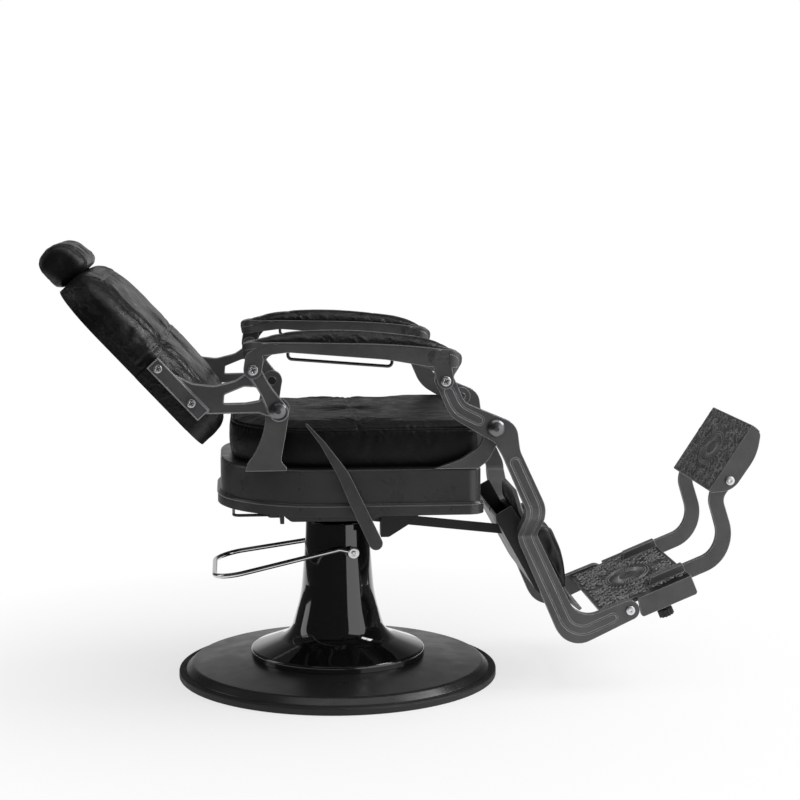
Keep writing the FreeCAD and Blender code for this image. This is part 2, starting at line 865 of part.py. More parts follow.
def seat_pan():
    shell = prism_z(seat_outline(0, 0), pan_bottom, pan_top)
    shell = rounded_at(shell, pan_top, pan_edge_round)
    rim_band = prism_z(seat_outline(-band_reach, -band_reach), pan_bottom, pan_bottom + band_height)
    rim_band = rounded_at(rim_band, pan_bottom + band_height, band_round)
    hollow = prism_z(seat_outline(pan_wall, pan_wall), pan_bottom, frame_top)
    shape = shell.fuse(rim_band).cut(hollow)
    holes = [rod_z(x, y, frame_bolt_radius + bolt_hole_gap, frame_top, pan_top)
             for x, y in frame_bolt_places()]
    shaft = rod_y(lever_shaft_x, lever_shaft_height(), lever_shaft_radius + running_fit,
                  -pan_half_width, -post_inner)
    return shape.cut(holes + [shaft]).removeSplitter()


def cushion_board():
    return prism_z(seat_outline(board_inset, board_inset), pan_top, pan_top + board_thickness)


def seat_cushion():
    top = pan_top + cushion_thickness
    shape = prism_z(seat_outline(cushion_inset, cushion_front_inset), pan_top, top)
    shape = rounded_at(shape, top, cushion_top_round)
    shape = rounded_at(shape, pan_top, cushion_bottom_round)
    edge = board_inset - flat_gap
    return shape.cut(prism_z(seat_outline(edge, edge), pan_top, pan_top + board_thickness))


def rear_post():
    x, z = back_pivot
    outline = [(x - post_foot_back, pan_top, 0),
               (x - post_toe_back, pan_top + post_toe_rise, post_toe_round),
               (x - post_flare_back, z - post_flare_drop, post_flare_round),
               (x - post_boss, z, 0), (x + post_boss, z, 0),
               (x + post_waist_front, z - post_waist_drop, post_waist_round),
               (x + post_ankle_front, pan_top + post_ankle_rise, post_ankle_round),
               (x + post_foot_front, pan_top + post_foot_rise, 0), (x + post_foot_front, pan_top, 0)]
    plate = prism_y(outline, -pan_half_width, -post_inner)
    boss = rod_y(x, z, post_boss, -pan_half_width, -post_inner)
    hole = rod_y(x, z, pivot_pin_radius + running_fit, -pan_half_width, -post_inner)
    return fused([plate, boss]).cut(hole)


def front_wing():
    x, z = leg_pivot
    outline = [(x - wing_tip_back, pan_top, 0), (x - wing_sweep_back, pan_top + wing_sweep_rise, wing_round),
               (x - wing_neck_back, z - wing_neck_drop, wing_neck_round),
               (x - wing_boss, z, 0), (x + wing_boss, z, 0),
               (x - wing_throat_back, pan_top + wing_sweep_rise, wing_round),
               (x - wing_foot_back, pan_top, 0)]
    plate = prism_y(outline, -pan_half_width, -post_inner)
    boss = rod_y(x, z, wing_boss, -pan_half_width, -post_inner)
    hole = rod_y(x, z, pivot_pin_radius + running_fit, -pan_half_width, -post_inner)
    return fused([plate, boss]).cut(hole)


def main_pivot_pins():
    pins = [rod_y(x, z, pivot_pin_radius, -link_outer - flat_gap, -post_inner)
            for x, z in (back_pivot, leg_pivot)]
    return Part.makeCompound(pins + [mirrored(pin) for pin in pins])


def pivot_caps():
    top = cap_rim + cap_dome
    profile = [(0, 0, 0), (cap_radius, 0, 0), (cap_radius, cap_rim, cap_edge_round),
               (cap_shoulder_radius, cap_rim + cap_dome / 2, cap_shoulder_round),
               (cap_crown_radius, top, cap_crown_round), (0, top, 0)]
    caps = []
    for x, z in (back_pivot, leg_pivot):
        cap = turned(profile)
        cap.rotate(V(0, 0, 0), V(1, 0, 0), 90)
        cap.translate(V(x, -link_outer - flat_gap, z))
        caps.append(cap)
    return Part.makeCompound(caps + [mirrored(cap) for cap in caps])


# Recline lock and lever
def lock_pin_place():
    (x, z, r), = at_calf([(lock_pin_along, lock_pin_in, 0)])
    return x, z


def lock_box():
    y = -lock_side
    top = frame_plate_bottom
    low = top - lock_box_depth
    outline = [(lock_box_rear, top, 0), (lock_box_rear, low, 0),
               (lock_box_rear + lock_box_toe, low, lock_box_round),
               (lock_box_front, low + lock_box_slope, lock_box_round), (lock_box_front, top, 0)]
    shape = prism_y(outline, y - lock_box_half_width, y + lock_box_half_width)
    middle = top - lock_window_drop
    slot = lock_bar_width / 2 + flat_gap
    window = block(lock_box_rear, lock_box_front, y - slot, y + slot,
                   middle - lock_window_half_height, middle + lock_window_half_height)
    return shape.cut(window)


def lock_bar():
    x, z = lock_pin_place()
    slope = math.radians(lock_bar_slope)
    end = (x - lock_bar_length * math.cos(slope), z + lock_bar_length * math.sin(slope))
    outline = band([(x, z, 0, lock_bar_half_height), (end[0], end[1], 0, lock_bar_half_height)])
    bar = prism_y(outline, -lock_side - lock_bar_width / 2, -lock_side + lock_bar_width / 2)
    hole = rod_y(x, z, lock_pin_radius + running_fit, -lock_side - lock_pin_half, -lock_side + lock_pin_half)
    return bar.cut(hole)


def lock_pin():
    x, z = lock_pin_place()
    return rod_y(x, z, lock_pin_radius, -lock_side - lock_pin_half, -lock_side + lock_pin_half)


def lever_shaft_height():
    return pan_top - lever_shaft_drop


def blade_outer():
    return pan_half_width + band_reach + lever_blade_gap + lever_blade_thickness


def recline_lever():
    x, z = lever_shaft_x, lever_shaft_height()
    path = [(x + u, z + v, bend, half) for u, v, bend, half in recline_blade]
    inner = blade_outer() - lever_blade_thickness
    return prism_y(band(path), -blade_outer(), -inner)


def recline_shaft():
    x, z = lever_shaft_x, lever_shaft_height()
    inner = blade_outer() - lever_blade_thickness
    shaft = rod_y(x, z, lever_shaft_radius, -inner, -pan_half_width + lever_shaft_inside)
    collar_from = pan_half_width - pan_wall - flat_gap
    collar = rod_y(x, z, lever_collar_radius, -collar_from, -collar_from + lever_collar_width)
    return fused([shaft, collar])


# Back
def back_bracket():
    bar_path = [(u, bracket_bar_depth, 0, bracket_bar_width / 2) for u in (bracket_bar_low, bracket_bar_high)]
    bar = prism_y(at_back(band(bar_path, (False, False))), -link_outer, -link_inner)
    px, pz = back_pivot
    ax, az = rear_pin
    web_top = moved(back_pivot, bracket_web_top)
    web_low = moved(back_pivot, bracket_web_low)
    web_outer = -link_outer + bracket_web_step
    web = prism_y(web_top + [(ax, az, 0), (px, pz, 0)] + web_low, web_outer, -link_inner)
    window = prism_y(moved(back_pivot, bracket_window), -link_outer, -link_inner)
    crank_path = [(px, pz, 0, bracket_boss), ((px + ax) / 2, (pz + az) / 2, crank_waist_round, crank_waist),
                  (ax, az, 0, bracket_pin_boss)]
    crank = prism_y(band(crank_path), -link_outer, -link_inner)
    shape = fused([bar, web.cut(window), crank])
    pivot = rod_y(px, pz, pivot_pin_radius + running_fit, -link_outer, -link_inner)
    pin = rod_y(ax, az, arm_pin_radius + running_fit, -link_outer, -link_inner)
    screws = [rod_y(x, z, bracket_screw_radius + bolt_hole_gap, -link_outer, -link_inner)
              for x, z in bracket_screw_places()]
    return shape.cut([pivot, pin] + screws).removeSplitter()


def bracket_screw_places():
    spots = at_back([(u, bracket_bar_depth, 0) for u in (bracket_screw_low, bracket_screw_high)])
    return [(x, z) for x, z, r in spots]


def bracket_screws():
    screws = []
    for x, z in bracket_screw_places():
        shank = rod_y(x, z, bracket_screw_radius, -link_outer, -link_outer + bracket_screw_length)
        head = rod_y(x, z, bracket_screw_head, -link_outer - bracket_screw_head_height, -link_outer)
        screws.append(fused([shank, head]))
    return Part.makeCompound(screws + [mirrored(screw) for screw in screws])


def back_panel(depth_from, depth_to, half):
    """Slab parallel to the back panel with rounded upper and lower corners."""
    face = [(back_low, -half, back_bottom_round), (back_length, -half, back_top_round),
            (back_length, half, back_top_round), (back_low, half, back_bottom_round)]
    return prism_z(face, depth_from, depth_to)


def placed_on_back(shape):
    """Turn a piece drawn with X up the back and Z towards the sitter into its place."""
    shape.rotate(V(0, 0, 0), V(1, 0, 0), 180)
    shape.rotate(V(0, 0, 0), V(0, 1, 0), -back_axis)
    shape.translate(V(back_foot[0], 0, back_foot[1]))
    return shape


def stem_slot():
    gap = flat_gap
    return block(back_length - stem_length - gap, back_length + head_gap,
                 -stem_half_width - gap, stem_half_width + gap,
                 stem_set_in - gap, stem_set_in + stem_thickness + gap)


def back_board():
    half = link_inner - back_flange_thickness
    board = back_panel(0, back_board_thickness, half)
    high = bracket_bar_depth + bracket_bar_width / 2
    flange = block(bracket_bar_low, bracket_bar_high, -link_inner, -half, 0, high)
    shape = fused([board.cut(stem_slot()), flange, mirrored(flange)])
    screws = []
    for u in (bracket_screw_low, bracket_screw_high):
        screws.append(rod_y(u, bracket_bar_depth, bracket_screw_radius + bolt_hole_gap,
                            -link_inner, link_inner))
    return placed_on_back(shape.cut(screws))


def back_cushion():
    half = link_inner - back_flange_thickness - flat_gap
    depth = back_board_thickness + back_cushion_depth
    shape = back_panel(back_board_thickness, depth, half)
    shape = rounded_at(shape, depth, back_edge_round)
    screws = []
    for u in (bracket_screw_low, bracket_screw_high):
        screws.append(rod_y(u, bracket_bar_depth, bracket_screw_head,
                            -link_inner, -link_outer + bracket_screw_length + side_gap))
    cuts = screws + [mirrored(screw) for screw in screws]
    return placed_on_back(shape.cut(cuts))


def arm_rear_pins():
    x, z = rear_pin
    shank = rod_y(x, z, arm_pin_radius, -lug_outer - flat_gap, -link_inner)
    head = rod_y(x, z, arm_pin_head, -lug_outer - flat_gap - arm_pin_head_thickness, -lug_outer - flat_gap)
    return pair(fused([shank, head]))


def headrest_stem():
    top = back_length + head_gap
    stem = block(back_length - stem_length, top, -stem_half_width, stem_half_width,
                 stem_set_in, stem_set_in + stem_thickness)
    plate = block(top, top + head_plate_thickness, -head_plate_half_width, head_plate_half_width,
                  stem_set_in, head_plate_depth)
    return placed_on_back(fused([stem, plate]))


def headrest_cushion():
    low = back_length + head_gap
    high = low + head_height
    rear, front = -head_set_back, head_depth - head_set_back
    face = [(low, rear, head_foot_round), (high, rear, head_round), (high, front, head_round),
            (low, front, head_foot_round)]
    shape = prism_y(at_back(face), -head_half_width, head_half_width)
    ends = [e for e in shape.Edges if abs(abs(e.BoundBox.YMin) - head_half_width) < 0.01
            and abs(e.BoundBox.YMin - e.BoundBox.YMax) < 0.01]
    half = head_plate_half_width + flat_gap
    pocket = block(low - flat_gap, low + head_plate_thickness, -half, half,
                   stem_set_in - flat_gap, head_plate_depth + flat_gap)
    return shape.makeFillet(head_end_round, ends).cut(placed_on_back(pocket))


# Arms
def arm_top_line(lift):
    """Corners of the arm's upper edge from rear to front, raised by lift."""
    corners = moved(rear_pin, arm_top_rear) + moved(front_pin, arm_top_front)
    return [(x, z + lift, r) for x, z, r in corners]


def arm_plan(overhang):
    ax = arm_top_line(0)[0][0] - overhang
    fx = arm_top_line(0)[-1][0] + overhang
    inner = arm_inner - overhang
    outer = lug_outer + overhang
    return [(ax, -outer, arm_end_round), (fx, -outer, arm_end_round), (fx, -inner, arm_end_round),
            (ax, -inner, arm_end_round)]


def arm_rail():
    ax, az = rear_pin
    fx, fz = front_pin
    under = moved(front_pin, arm_under_front) + moved(rear_pin, arm_under_rear)
    rail = prism_y(arm_top_line(0) + under, -lug_outer, -arm_inner)
    rail = rail.common(prism_z(arm_plan(0), 0, az + fz))
    rear_path = [(ax, az, 0, arm_lug_boss), (ax + arm_rear_lug[0], az + arm_rear_lug[1], 0, arm_lug_boss)]
    front_path = [(fx, fz, 0, arm_front_boss),
                  (fx + arm_front_lug[0], fz + arm_front_lug[1], 0, arm_front_lug_half)]
    rear_lug = prism_y(band(rear_path), -lug_outer, -lug_inner)
    front_lug = prism_y(band(front_path), -lug_outer, -lug_inner)
    rear_hole = rod_y(ax, az, arm_pin_radius + running_fit, -lug_outer, -lug_inner)
    front_hole = rod_y(fx, fz, arm_pin_radius + open_pin_gap, -lug_outer, -lug_inner)
    socket_radius = towel_bar_radius + running_fit
    sockets = [rod_z(x, -arm_middle, socket_radius, z - towel_bar_socket, z + towel_bar_socket)
               for x, z in towel_bar_feet()]
    return fused([rail, rear_lug, front_lug]).cut([rear_hole, front_hole] + sockets)


def arm_pad():
    top = arm_top_line(arm_pad_thickness)
    low = arm_top_line(0)[::-1]
    low[0] = (low[0][0], low[0][1], arm_pad_edge)
    low[-1] = (low[-1][0], low[-1][1], arm_pad_edge)
    shape = prism_y(top + low, -lug_outer - arm_pad_overhang, -arm_inner + arm_pad_overhang)
    return shape.common(prism_z(arm_plan(arm_pad_overhang), 0, rear_pin[1] + front_pin[1]))


def towel_bar_feet():
    """Side-view points where the towel bar's two ends enter the arm's underside."""
    x_from, z_from, r = moved(rear_pin, arm_under_rear)[0]
    x_front, z_front, r = moved(front_pin, arm_under_front)[-1]
    z_to = z_from + (z_front - z_from) * towel_bar_length / (x_front - x_from)
    return [(x_from, z_from), (x_from + towel_bar_length, z_to)]


def towel_bar():
    (x_from, z_from), (x_to, z_to) = towel_bar_feet()
    drop = towel_bar_drop + towel_bar_radius
    points = [V(x_from, -arm_middle, z_from + towel_bar_socket), V(x_from, -arm_middle, z_from - drop),
              V(x_to, -arm_middle, z_to - drop), V(x_to, -arm_middle, z_to + towel_bar_socket)]
    return swept_rod(points, [0, towel_bar_bend, towel_bar_bend, 0], towel_bar_radius)


# Leg rest
def leg_path():
    """Stations of the leg frame from the arm pin over the pivot to the foot hinge."""
    x, z = leg_pivot
    path = [(front_pin[0], front_pin[1], 0, leg_crank_half)]
    path += [(x + u, z + v, bend, half) for u, v, bend, half in leg_stations]
    u, v, bend, half = leg_corner
    path.append((foot_pivot[0] + u, foot_pivot[1] + v, bend, half))
    path.append((foot_pivot[0], foot_pivot[1], 0, leg_foot_half))
    return path


def joggle():
    """Front-view band that carries the leg from the seat's side in to the footplate's side."""
    half = leg_thickness / 2
    top = -link_inner - half
    low = -leg_foot_middle
    return band([(top, leg_pivot[1] * 2, 0, half), (top, joggle_top, joggle_round, half),
                 (low, joggle_bottom, joggle_round, half), (low, 0, 0, half)], (False, False))


def leg_outline():
    """Side view of the leg frame; its knee and foot corners have their own roundings."""
    path = leg_path()
    outline = band(path)
    last = 2 * len(path) - 1
    knee = 2
    corner = len(path) - 2
    rounds = {knee: leg_knee_outer_round, last - knee: leg_knee_inner_round,
              corner: leg_corner_inner_round, last - corner: leg_corner_outer_round}
    return [(x, z, rounds.get(i, r)) for i, (x, z, r) in enumerate(outline)]


def leg_groove_paths():
    """Side-view paths of the grooves on the crank and on the long leg."""
    stations = [(u, v, bend) for u, v, bend, half in leg_stations[-2:]]
    path = moved(leg_pivot, [leg_groove_top] + stations)
    x, z, bend, half = leg_path()[-2]
    path.append((x, z, bend))
    share = leg_groove_end_share
    path.append((foot_pivot[0] * (1 - share) + x * share, foot_pivot[1] * (1 - share) + z * share, 0))
    return [moved(leg_pivot, crank_groove), path]


def groove_ring(path):
    """Tall ring that follows both sides of a path at the grooves' distance."""
    rings = []
    for half in (groove_reach + groove_width / 2, groove_reach - groove_width / 2):
        outline = band([(x, z, bend, half) for x, z, bend in path])
        rings.append(prism_y(outline, -link_outer, -leg_foot_inner))
    return rings[0].cut(rings[1])


def leg_frame():
    side = prism_y(leg_outline(), -link_outer, -leg_foot_inner)
    front = prism_x(joggle(), front_pin[0] - leg_foot_middle, foot_pivot[0] + leg_foot_middle)
    core = front.copy()
    core.translate(V(0, groove_depth, 0))
    shape = side.common(front).cut([groove_ring(path).cut(core) for path in leg_groove_paths()])
    pivot = rod_y(leg_pivot[0], leg_pivot[1], pivot_pin_radius + running_fit, -link_outer, -link_inner)
    pin = rod_y(front_pin[0], front_pin[1], arm_pin_radius + running_fit, -link_outer, -link_inner)
    hinge = rod_y(foot_pivot[0], foot_pivot[1], hinge_pin_radius + running_fit,
                  -leg_foot_outer, -leg_foot_inner)
    bolts = [rod_y(x, z, calf_bolt_radius + bolt_hole_gap, -leg_foot_outer + calf_bolt_cover, -leg_foot_inner)
             for x, z in calf_bolt_places()]
    return shape.cut([pivot, pin, hinge] + bolts).removeSplitter()


def arm_front_pins():
    x, z = front_pin
    shank = rod_y(x, z, arm_pin_radius, -lug_outer - flat_gap, -link_inner)
    head = rod_y(x, z, arm_pin_head, -lug_outer - flat_gap - arm_pin_head_thickness, -lug_outer - flat_gap)
    return pair(fused([shank, head]))


def calf_bolt_places():
    along = [calf_tray_bottom - rise for rise in (calf_bolt_rise, calf_bolt_low_rise)]
    spots = at_calf([(u, calf_tray_depth - calf_bolt_inset, 0) for u in along])
    return [(x, z) for x, z, r in spots]


def calf_tray():
    half = leg_foot_inner
    wall = calf_tray_wall
    over = calf_tray_depth + wall
    outer = [(calf_tray_top, 0, calf_tray_top_round), (calf_tray_bottom, 0, calf_tray_round),
             (calf_tray_bottom, calf_tray_depth, 0), (calf_tray_top, calf_tray_depth, 0)]
    inner = [(calf_tray_top - wall, wall, 0), (calf_tray_bottom - wall, wall, calf_tray_round - wall),
             (calf_tray_bottom - wall, over, 0), (calf_tray_top - wall, over, 0)]
    shape = prism_y(at_calf(outer), -half, half).cut(prism_y(at_calf(inner), -half + wall, half - wall))
    slot = lock_bar_width / 2 + side_gap
    window = [(calf_tray_top, -wall, 0), (lock_pin_along + lock_slot_below, -wall, 0),
              (lock_pin_along + lock_slot_below, wall * 2, 0), (calf_tray_top, wall * 2, 0)]
    cut_window = prism_y(at_calf(window), -lock_side - slot, -lock_side + slot)
    ear = [(lock_pin_along - lock_ear, wall, 0), (lock_pin_along + lock_ear, wall, 0),
           (lock_pin_along + lock_ear, lock_pin_in + lock_ear, lock_ear_round),
           (lock_pin_along - lock_ear, lock_pin_in + lock_ear, lock_ear_round)]
    near = prism_y(at_calf(ear), -lock_side - lock_pin_half, -lock_side - slot)
    far = prism_y(at_calf(ear), -lock_side + slot, -lock_side + lock_pin_half)
    x, z = lock_pin_place()
    hole = rod_y(x, z, lock_pin_radius + running_fit, -lock_side - lock_pin_half, -lock_side + lock_pin_half)
    bolts = [rod_y(bx, bz, calf_bolt_radius + bolt_hole_gap, -half, half) for bx, bz in calf_bolt_places()]
    return shape.cut(cut_window).fuse([near, far]).cut([hole] + bolts).removeSplitter()


def placed_on_calf(shape):
    """Turn a piece drawn with X down the calf panel and Z forward of it into its place."""
    shape.rotate(V(0, 0, 0), V(0, 1, 0), calf_tilt)
    shape.translate(V(calf_origin[0], 0, calf_origin[1]))
    return shape


def calf_board():
    half = leg_foot_inner - side_gap
    low, high, corner = calf_board_top, calf_board_bottom, calf_pad_round
    face = [(low, -half, corner), (high, -half, corner), (high, half, corner), (low, half, corner)]
    return placed_on_calf(prism_z(face, calf_tray_depth, calf_tray_depth + calf_board_thickness))


def calf_pad():
    """Cushion with a full upper end that thins towards its lower end."""
    low = calf_tray_depth + calf_board_thickness
    high = low + calf_pad_depth
    side = [(calf_pad_top, low, 0), (calf_pad_bottom, low, 0),
            (calf_pad_bottom, low + calf_pad_toe, calf_pad_toe / 2),
            (calf_pad_bottom - calf_pad_taper, high - calf_pad_fall, calf_pad_crown_round),
            (calf_pad_top, high, calf_pad_round)]
    shape = prism_y(side, -calf_pad_half_width, calf_pad_half_width)
    ends = [e for e in shape.Edges if abs(e.BoundBox.YMin - e.BoundBox.YMax) < 0.01
            and e.BoundBox.ZMax > low + 1.0]
    return placed_on_calf(shape.makeFillet(calf_pad_side_round, ends))


def leaf(along, across, turn, height):
    """Tall lens-shaped cutter, turned in plan."""
    radius = (leaf_length ** 2 + leaf_width ** 2) / (4 * leaf_width)
    shift = radius - leaf_width / 2
    lens = rod_z(0, shift, radius, 0, height).common(rod_z(0, -shift, radius, 0, height))
    lens.rotate(V(0, 0, 0), V(0, 0, 1), turn)
    lens.translate(V(along, across, 0))
    return lens


def calf_scroll(start, sense):
    """Pierced end casting: an arched plate that curls forward, seated on the calf board's end."""
    low = calf_tray_depth + calf_board_thickness
    half = scroll_thickness / 2
    middle = low + half
    bend = start + sense * scroll_curl_from
    end = start + sense * scroll_length
    side = band([(start, middle, 0, half), (bend, middle, scroll_curl_round, half),
                 (end, middle + scroll_curl, 0, half)], (False, True))
    plate = prism_y(side, -scroll_half_width, scroll_half_width)
    tip = end + sense * scroll_thickness
    wide, narrow, corner = scroll_half_width, scroll_tip_half_width, scroll_tip_round
    arch = prism_z([(start, -wide, 0), (start, wide, 0), (bend, wide, corner),
                    (tip, narrow, corner), (tip, -narrow, corner), (bend, -wide, corner)], 0, low * 2)
    holes = []
    for i in range(leaf_count):
        across = (i - (leaf_count - 1) / 2) * leaf_pitch
        turn = sense * math.copysign(leaf_turn, across)
        holes.append(leaf(start + sense * leaf_along, across, turn, low * 2))
    return placed_on_calf(plate.common(arch).cut(holes))


def calf_scroll_upper():
    return calf_scroll(calf_board_top + scroll_seat, -1)


def calf_scroll_lower():
    return calf_scroll(calf_board_bottom - scroll_seat, 1)


def calf_bolts():
    bolts = []
    for x, z in calf_bolt_places():
        seat = -leg_foot_inner + calf_tray_wall
        shank = rod_y(x, z, calf_bolt_radius, -leg_foot_outer + calf_bolt_cover, seat)
        head = rod_y(x, z, calf_bolt_head, seat, seat + calf_bolt_head_height)
        bolts.append(fused([shank, head]))
    return Part.makeCompound(bolts + [mirrored(bolt) for bolt in bolts])


def foot_hinge_pins():
    x, z = foot_pivot
    tail = leg_foot_inner - side_gap - hinge_boss_width
    shank = rod_y(x, z, hinge_pin_radius, -leg_foot_outer, -tail)
    head = rod_y(x, z, hinge_pin_head, -leg_foot_outer - hinge_pin_head_height, -leg_foot_outer)
    return pair(fused([shank, head]))


# Footplate, extension and foot pad
def placed_on_foot(shape):
    """Turn a piece drawn with X up the footplate's slope from the hinge into its place."""
    shape.rotate(V(0, 0, 0), V(0, 1, 0), -foot_tilt)
    shape.translate(V(foot_pivot[0], 0, foot_pivot[1]))
    return shape


def footplate():
    half = leg_foot_inner - side_gap
    outer = leg_foot_outer
    under = plate_top - plate_thickness
    plate = block(plate_rear, plate_front, -half, half, under, plate_top)
    wing_top = block(skirt_rear, plate_front, -outer, -half, under, plate_top)
    skirt = prism_y([(skirt_rear, plate_top, 0), (plate_front, plate_top, 0),
                     (plate_front, skirt_bottom, skirt_round), (skirt_rear_low, skirt_bottom, skirt_round)],
                    -outer, -outer + skirt_thickness)
    boss = rod_y(0, 0, hinge_boss_radius, -half, -half + hinge_boss_width)
    boss_web = block(-hinge_boss_radius, hinge_boss_radius, -half, -half + hinge_boss_width, 0, plate_top)
    reach = bar_thickness / 2 + sleeve_gap + sleeve_wall
    sleeve_low = bar_rise - bar_half_height - sleeve_gap - sleeve_wall
    sleeve_high = bar_rise + bar_half_height + sleeve_gap + sleeve_roof
    sleeve = prism_y([(sleeve_rear, sleeve_low, 0), (sleeve_rear, plate_top, 0),
                      (sleeve_rear + sleeve_ramp, sleeve_high, 0), (plate_front, sleeve_high, 0),
                      (plate_front, sleeve_low, 0)], -bar_side - reach, -bar_side + reach)
    right = [wing_top, skirt, boss, boss_web, sleeve]
    shape = fused([plate] + right + [mirrored(piece) for piece in right])
    slot = block(sleeve_rear, plate_front, -bar_side - bar_thickness / 2 - sleeve_gap,
                 -bar_side + bar_thickness / 2 + sleeve_gap, bar_rise - bar_half_height - sleeve_gap,
                 bar_rise + bar_half_height + sleeve_gap)
    screw = rod_z(knob_along, -bar_side, knob_stem_radius + running_fit, sleeve_low, bar_rise)
    hinge = rod_y(0, 0, hinge_pin_radius + running_fit, -outer, outer)
    return placed_on_foot(shape.cut([slot, mirrored(slot), screw, mirrored(screw), hinge]).removeSplitter())


def clamp_knob():
    stem_top = bar_rise - bar_half_height - sleeve_gap
    knob = rod_z(0, 0, knob_radius, knob_top - knob_height, knob_top)
    flutes = []
    for i in range(knob_flutes):
        angle = 2 * math.pi * i / knob_flutes
        flutes.append(rod_z(knob_radius * math.cos(angle), knob_radius * math.sin(angle), knob_flute_radius,
                            knob_top - knob_height, knob_top))
    stem = rod_z(0, 0, knob_stem_radius, knob_top, stem_top)
    shape = fused([knob.cut(flutes), stem])
    shape.translate(V(knob_along, -bar_side, 0))
    return placed_on_foot(shape)


def bar_stations():
    """Side-view stations of an extension bar from its tail in the sleeve to the foot pad's pivot."""
    (x0, z0, r0), (x1, z1, r1) = on_axes(foot_pivot, foot_tilt,
                                         [(bar_tail, bar_rise, 0), (bar_straight, bar_rise, 0)])
    x2, z2 = x1 + bar_lean_run, z1 + bar_lean_rise
    x3, z3 = x2 - bar_return_run, z2 + bar_return_rise
    x4, z4 = x3 + bar_tip_run, z3 + bar_tip_rise
    half = bar_half_height
    return [(x0, z0, 0, half), (x1, z1, bar_bend, half), (x2, z2, bar_knee_bend, bar_knee_half),
            (x3, z3, bar_neck_bend, bar_neck_half), (x4, z4, 0, bar_boss)]


def pad_pivot():
    x, z, r, half = bar_stations()[-1]
    return x, z


def extension_bar():
    inner = bar_side - bar_thickness / 2
    outer = bar_side + bar_thickness / 2
    bar = prism_y(band(bar_stations(), (False, True)), -outer, -inner)
    x, z = pad_pivot()
    boss = rod_y(x, z, bar_spacer, -pad_half_width + pad_wall + flat_gap, -outer)
    hole = rod_y(x, z, pad_pin_radius + running_fit, -pad_half_width, -inner)
    under = plate_top - plate_thickness - sleeve_gap
    low = bar_rise - bar_half_height
    tongue = placed_on_foot(block(bar_tongue_tail, plate_front, -outer, -inner, low, under))
    return fused([bar, boss, tongue]).cut(hole).removeSplitter()


def pad_pivot_pins():
    x, z = pad_pivot()
    shank = rod_y(x, z, pad_pin_radius, -pad_half_width - flat_gap, -bar_side + bar_thickness / 2)
    seat = pad_half_width + flat_gap
    head = rod_y(x, z, pad_pin_head, -seat - pad_pin_head_height, -seat)
    return pair(fused([shank, head]))


def foot_pad():
    """Shallow cast tray: a face plate with deep side skirts that carry the pivot."""
    origin = pad_pivot()
    low, high = -pad_pivot_along, pad_length - pad_pivot_along
    face, back = pad_pivot_behind, pad_pivot_behind - pad_plate
    plate = on_axes(origin, pad_tilt, [(low, face, pad_face_round), (high, face, pad_face_round),
                                       (high, back, 0), (low, back, 0)])
    skirt = on_axes(origin, pad_tilt, [(low, face, pad_face_round), (high, face, pad_face_round),
                                       (high - pad_skirt_inset, face - pad_skirt_depth, pad_tip_round),
                                       (high - pad_belly_back, face - pad_belly_depth, pad_belly_round),
                                       (pad_heel_along, face - pad_heel_depth, pad_heel_round),
                                       (low, back, 0)])
    inner = pad_half_width - pad_wall
    lip_tip = face - pad_lip_depth
    lip_end = high - pad_skirt_inset / 2
    lip = on_axes(origin, pad_tilt, [(high - pad_wall, back, 0), (high, back, 0),
                                     (lip_end, lip_tip, 0), (lip_end - pad_wall, lip_tip, 0)])
    sides = prism_y(skirt, -pad_half_width, -inner)
    hole = rod_y(origin[0], origin[1], pad_pin_radius + running_fit, -pad_half_width, pad_half_width)
    shape = fused([prism_y(plate, -pad_half_width, pad_half_width), sides, mirrored(sides),
                   prism_y(lip, -pad_half_width, pad_half_width)])
    return shape.cut(hole)


def build():
    right_bar = extension_bar()
    right_post = rear_post()
    right_wing = front_wing()
    right_bracket = back_bracket()
    right_rail = arm_rail()
    right_pad = arm_pad()
    right_towel = towel_bar()
    right_leg = leg_frame()
    right_knob = clamp_knob()
    return {
        "base_disc": base_disc(), "base_rim_trim": base_rim(), "column_shroud": column_shroud(),
        "pump_cylinder": pump_cylinder(), "pump_foot": pump_foot(), "lever_pins": lever_pins(),
        "base_bolts": base_bolts(), "pump_lever": pump_lever(), "ram": ram(),
        "seat_frame": seat_frame(), "seat_pan": seat_pan(), "cushion_board": cushion_board(),
        "seat_cushion": seat_cushion(), "frame_bolts": frame_bolts(),
        "rear_post_right": right_post, "rear_post_left": mirrored(right_post),
        "front_wing_right": right_wing, "front_wing_left": mirrored(right_wing),
        "main_pivot_pins": main_pivot_pins(), "pivot_caps": pivot_caps(),
        "lock_box": lock_box(), "lock_bar": lock_bar(), "lock_pin": lock_pin(),
        "recline_lever": recline_lever(), "recline_shaft": recline_shaft(),
        "swivel_lock_handle": swivel_lock_handle(),
        "back_bracket_right": right_bracket, "back_bracket_left": mirrored(right_bracket),
        "back_board": back_board(), "back_cushion": back_cushion(), "bracket_screws": bracket_screws(),
        "arm_rear_pins": arm_rear_pins(),
        "headrest_stem": headrest_stem(), "headrest_cushion": headrest_cushion(),
        "arm_rail_right": right_rail, "arm_rail_left": mirrored(right_rail),
        "arm_pad_right": right_pad, "arm_pad_left": mirrored(right_pad),
        "towel_bar_right": right_towel, "towel_bar_left": mirrored(right_towel),
        "leg_frame_right": right_leg, "leg_frame_left": mirrored(right_leg),
        "arm_front_pins": arm_front_pins(), "foot_hinge_pins": foot_hinge_pins(),
        "calf_tray": calf_tray(), "calf_board": calf_board(), "calf_pad": calf_pad(),
        "calf_scroll_upper": calf_scroll_upper(), "calf_scroll_lower": calf_scroll_lower(),
        "calf_bolts": calf_bolts(),
        "footplate": footplate(), "clamp_knob_right": right_knob, "clamp_knob_left": mirrored(right_knob),
        "extension_bar_right": right_bar, "extension_bar_left": mirrored(right_bar),
        "pad_pivot_pins": pad_pivot_pins(), "foot_pad": foot_pad(),
    }


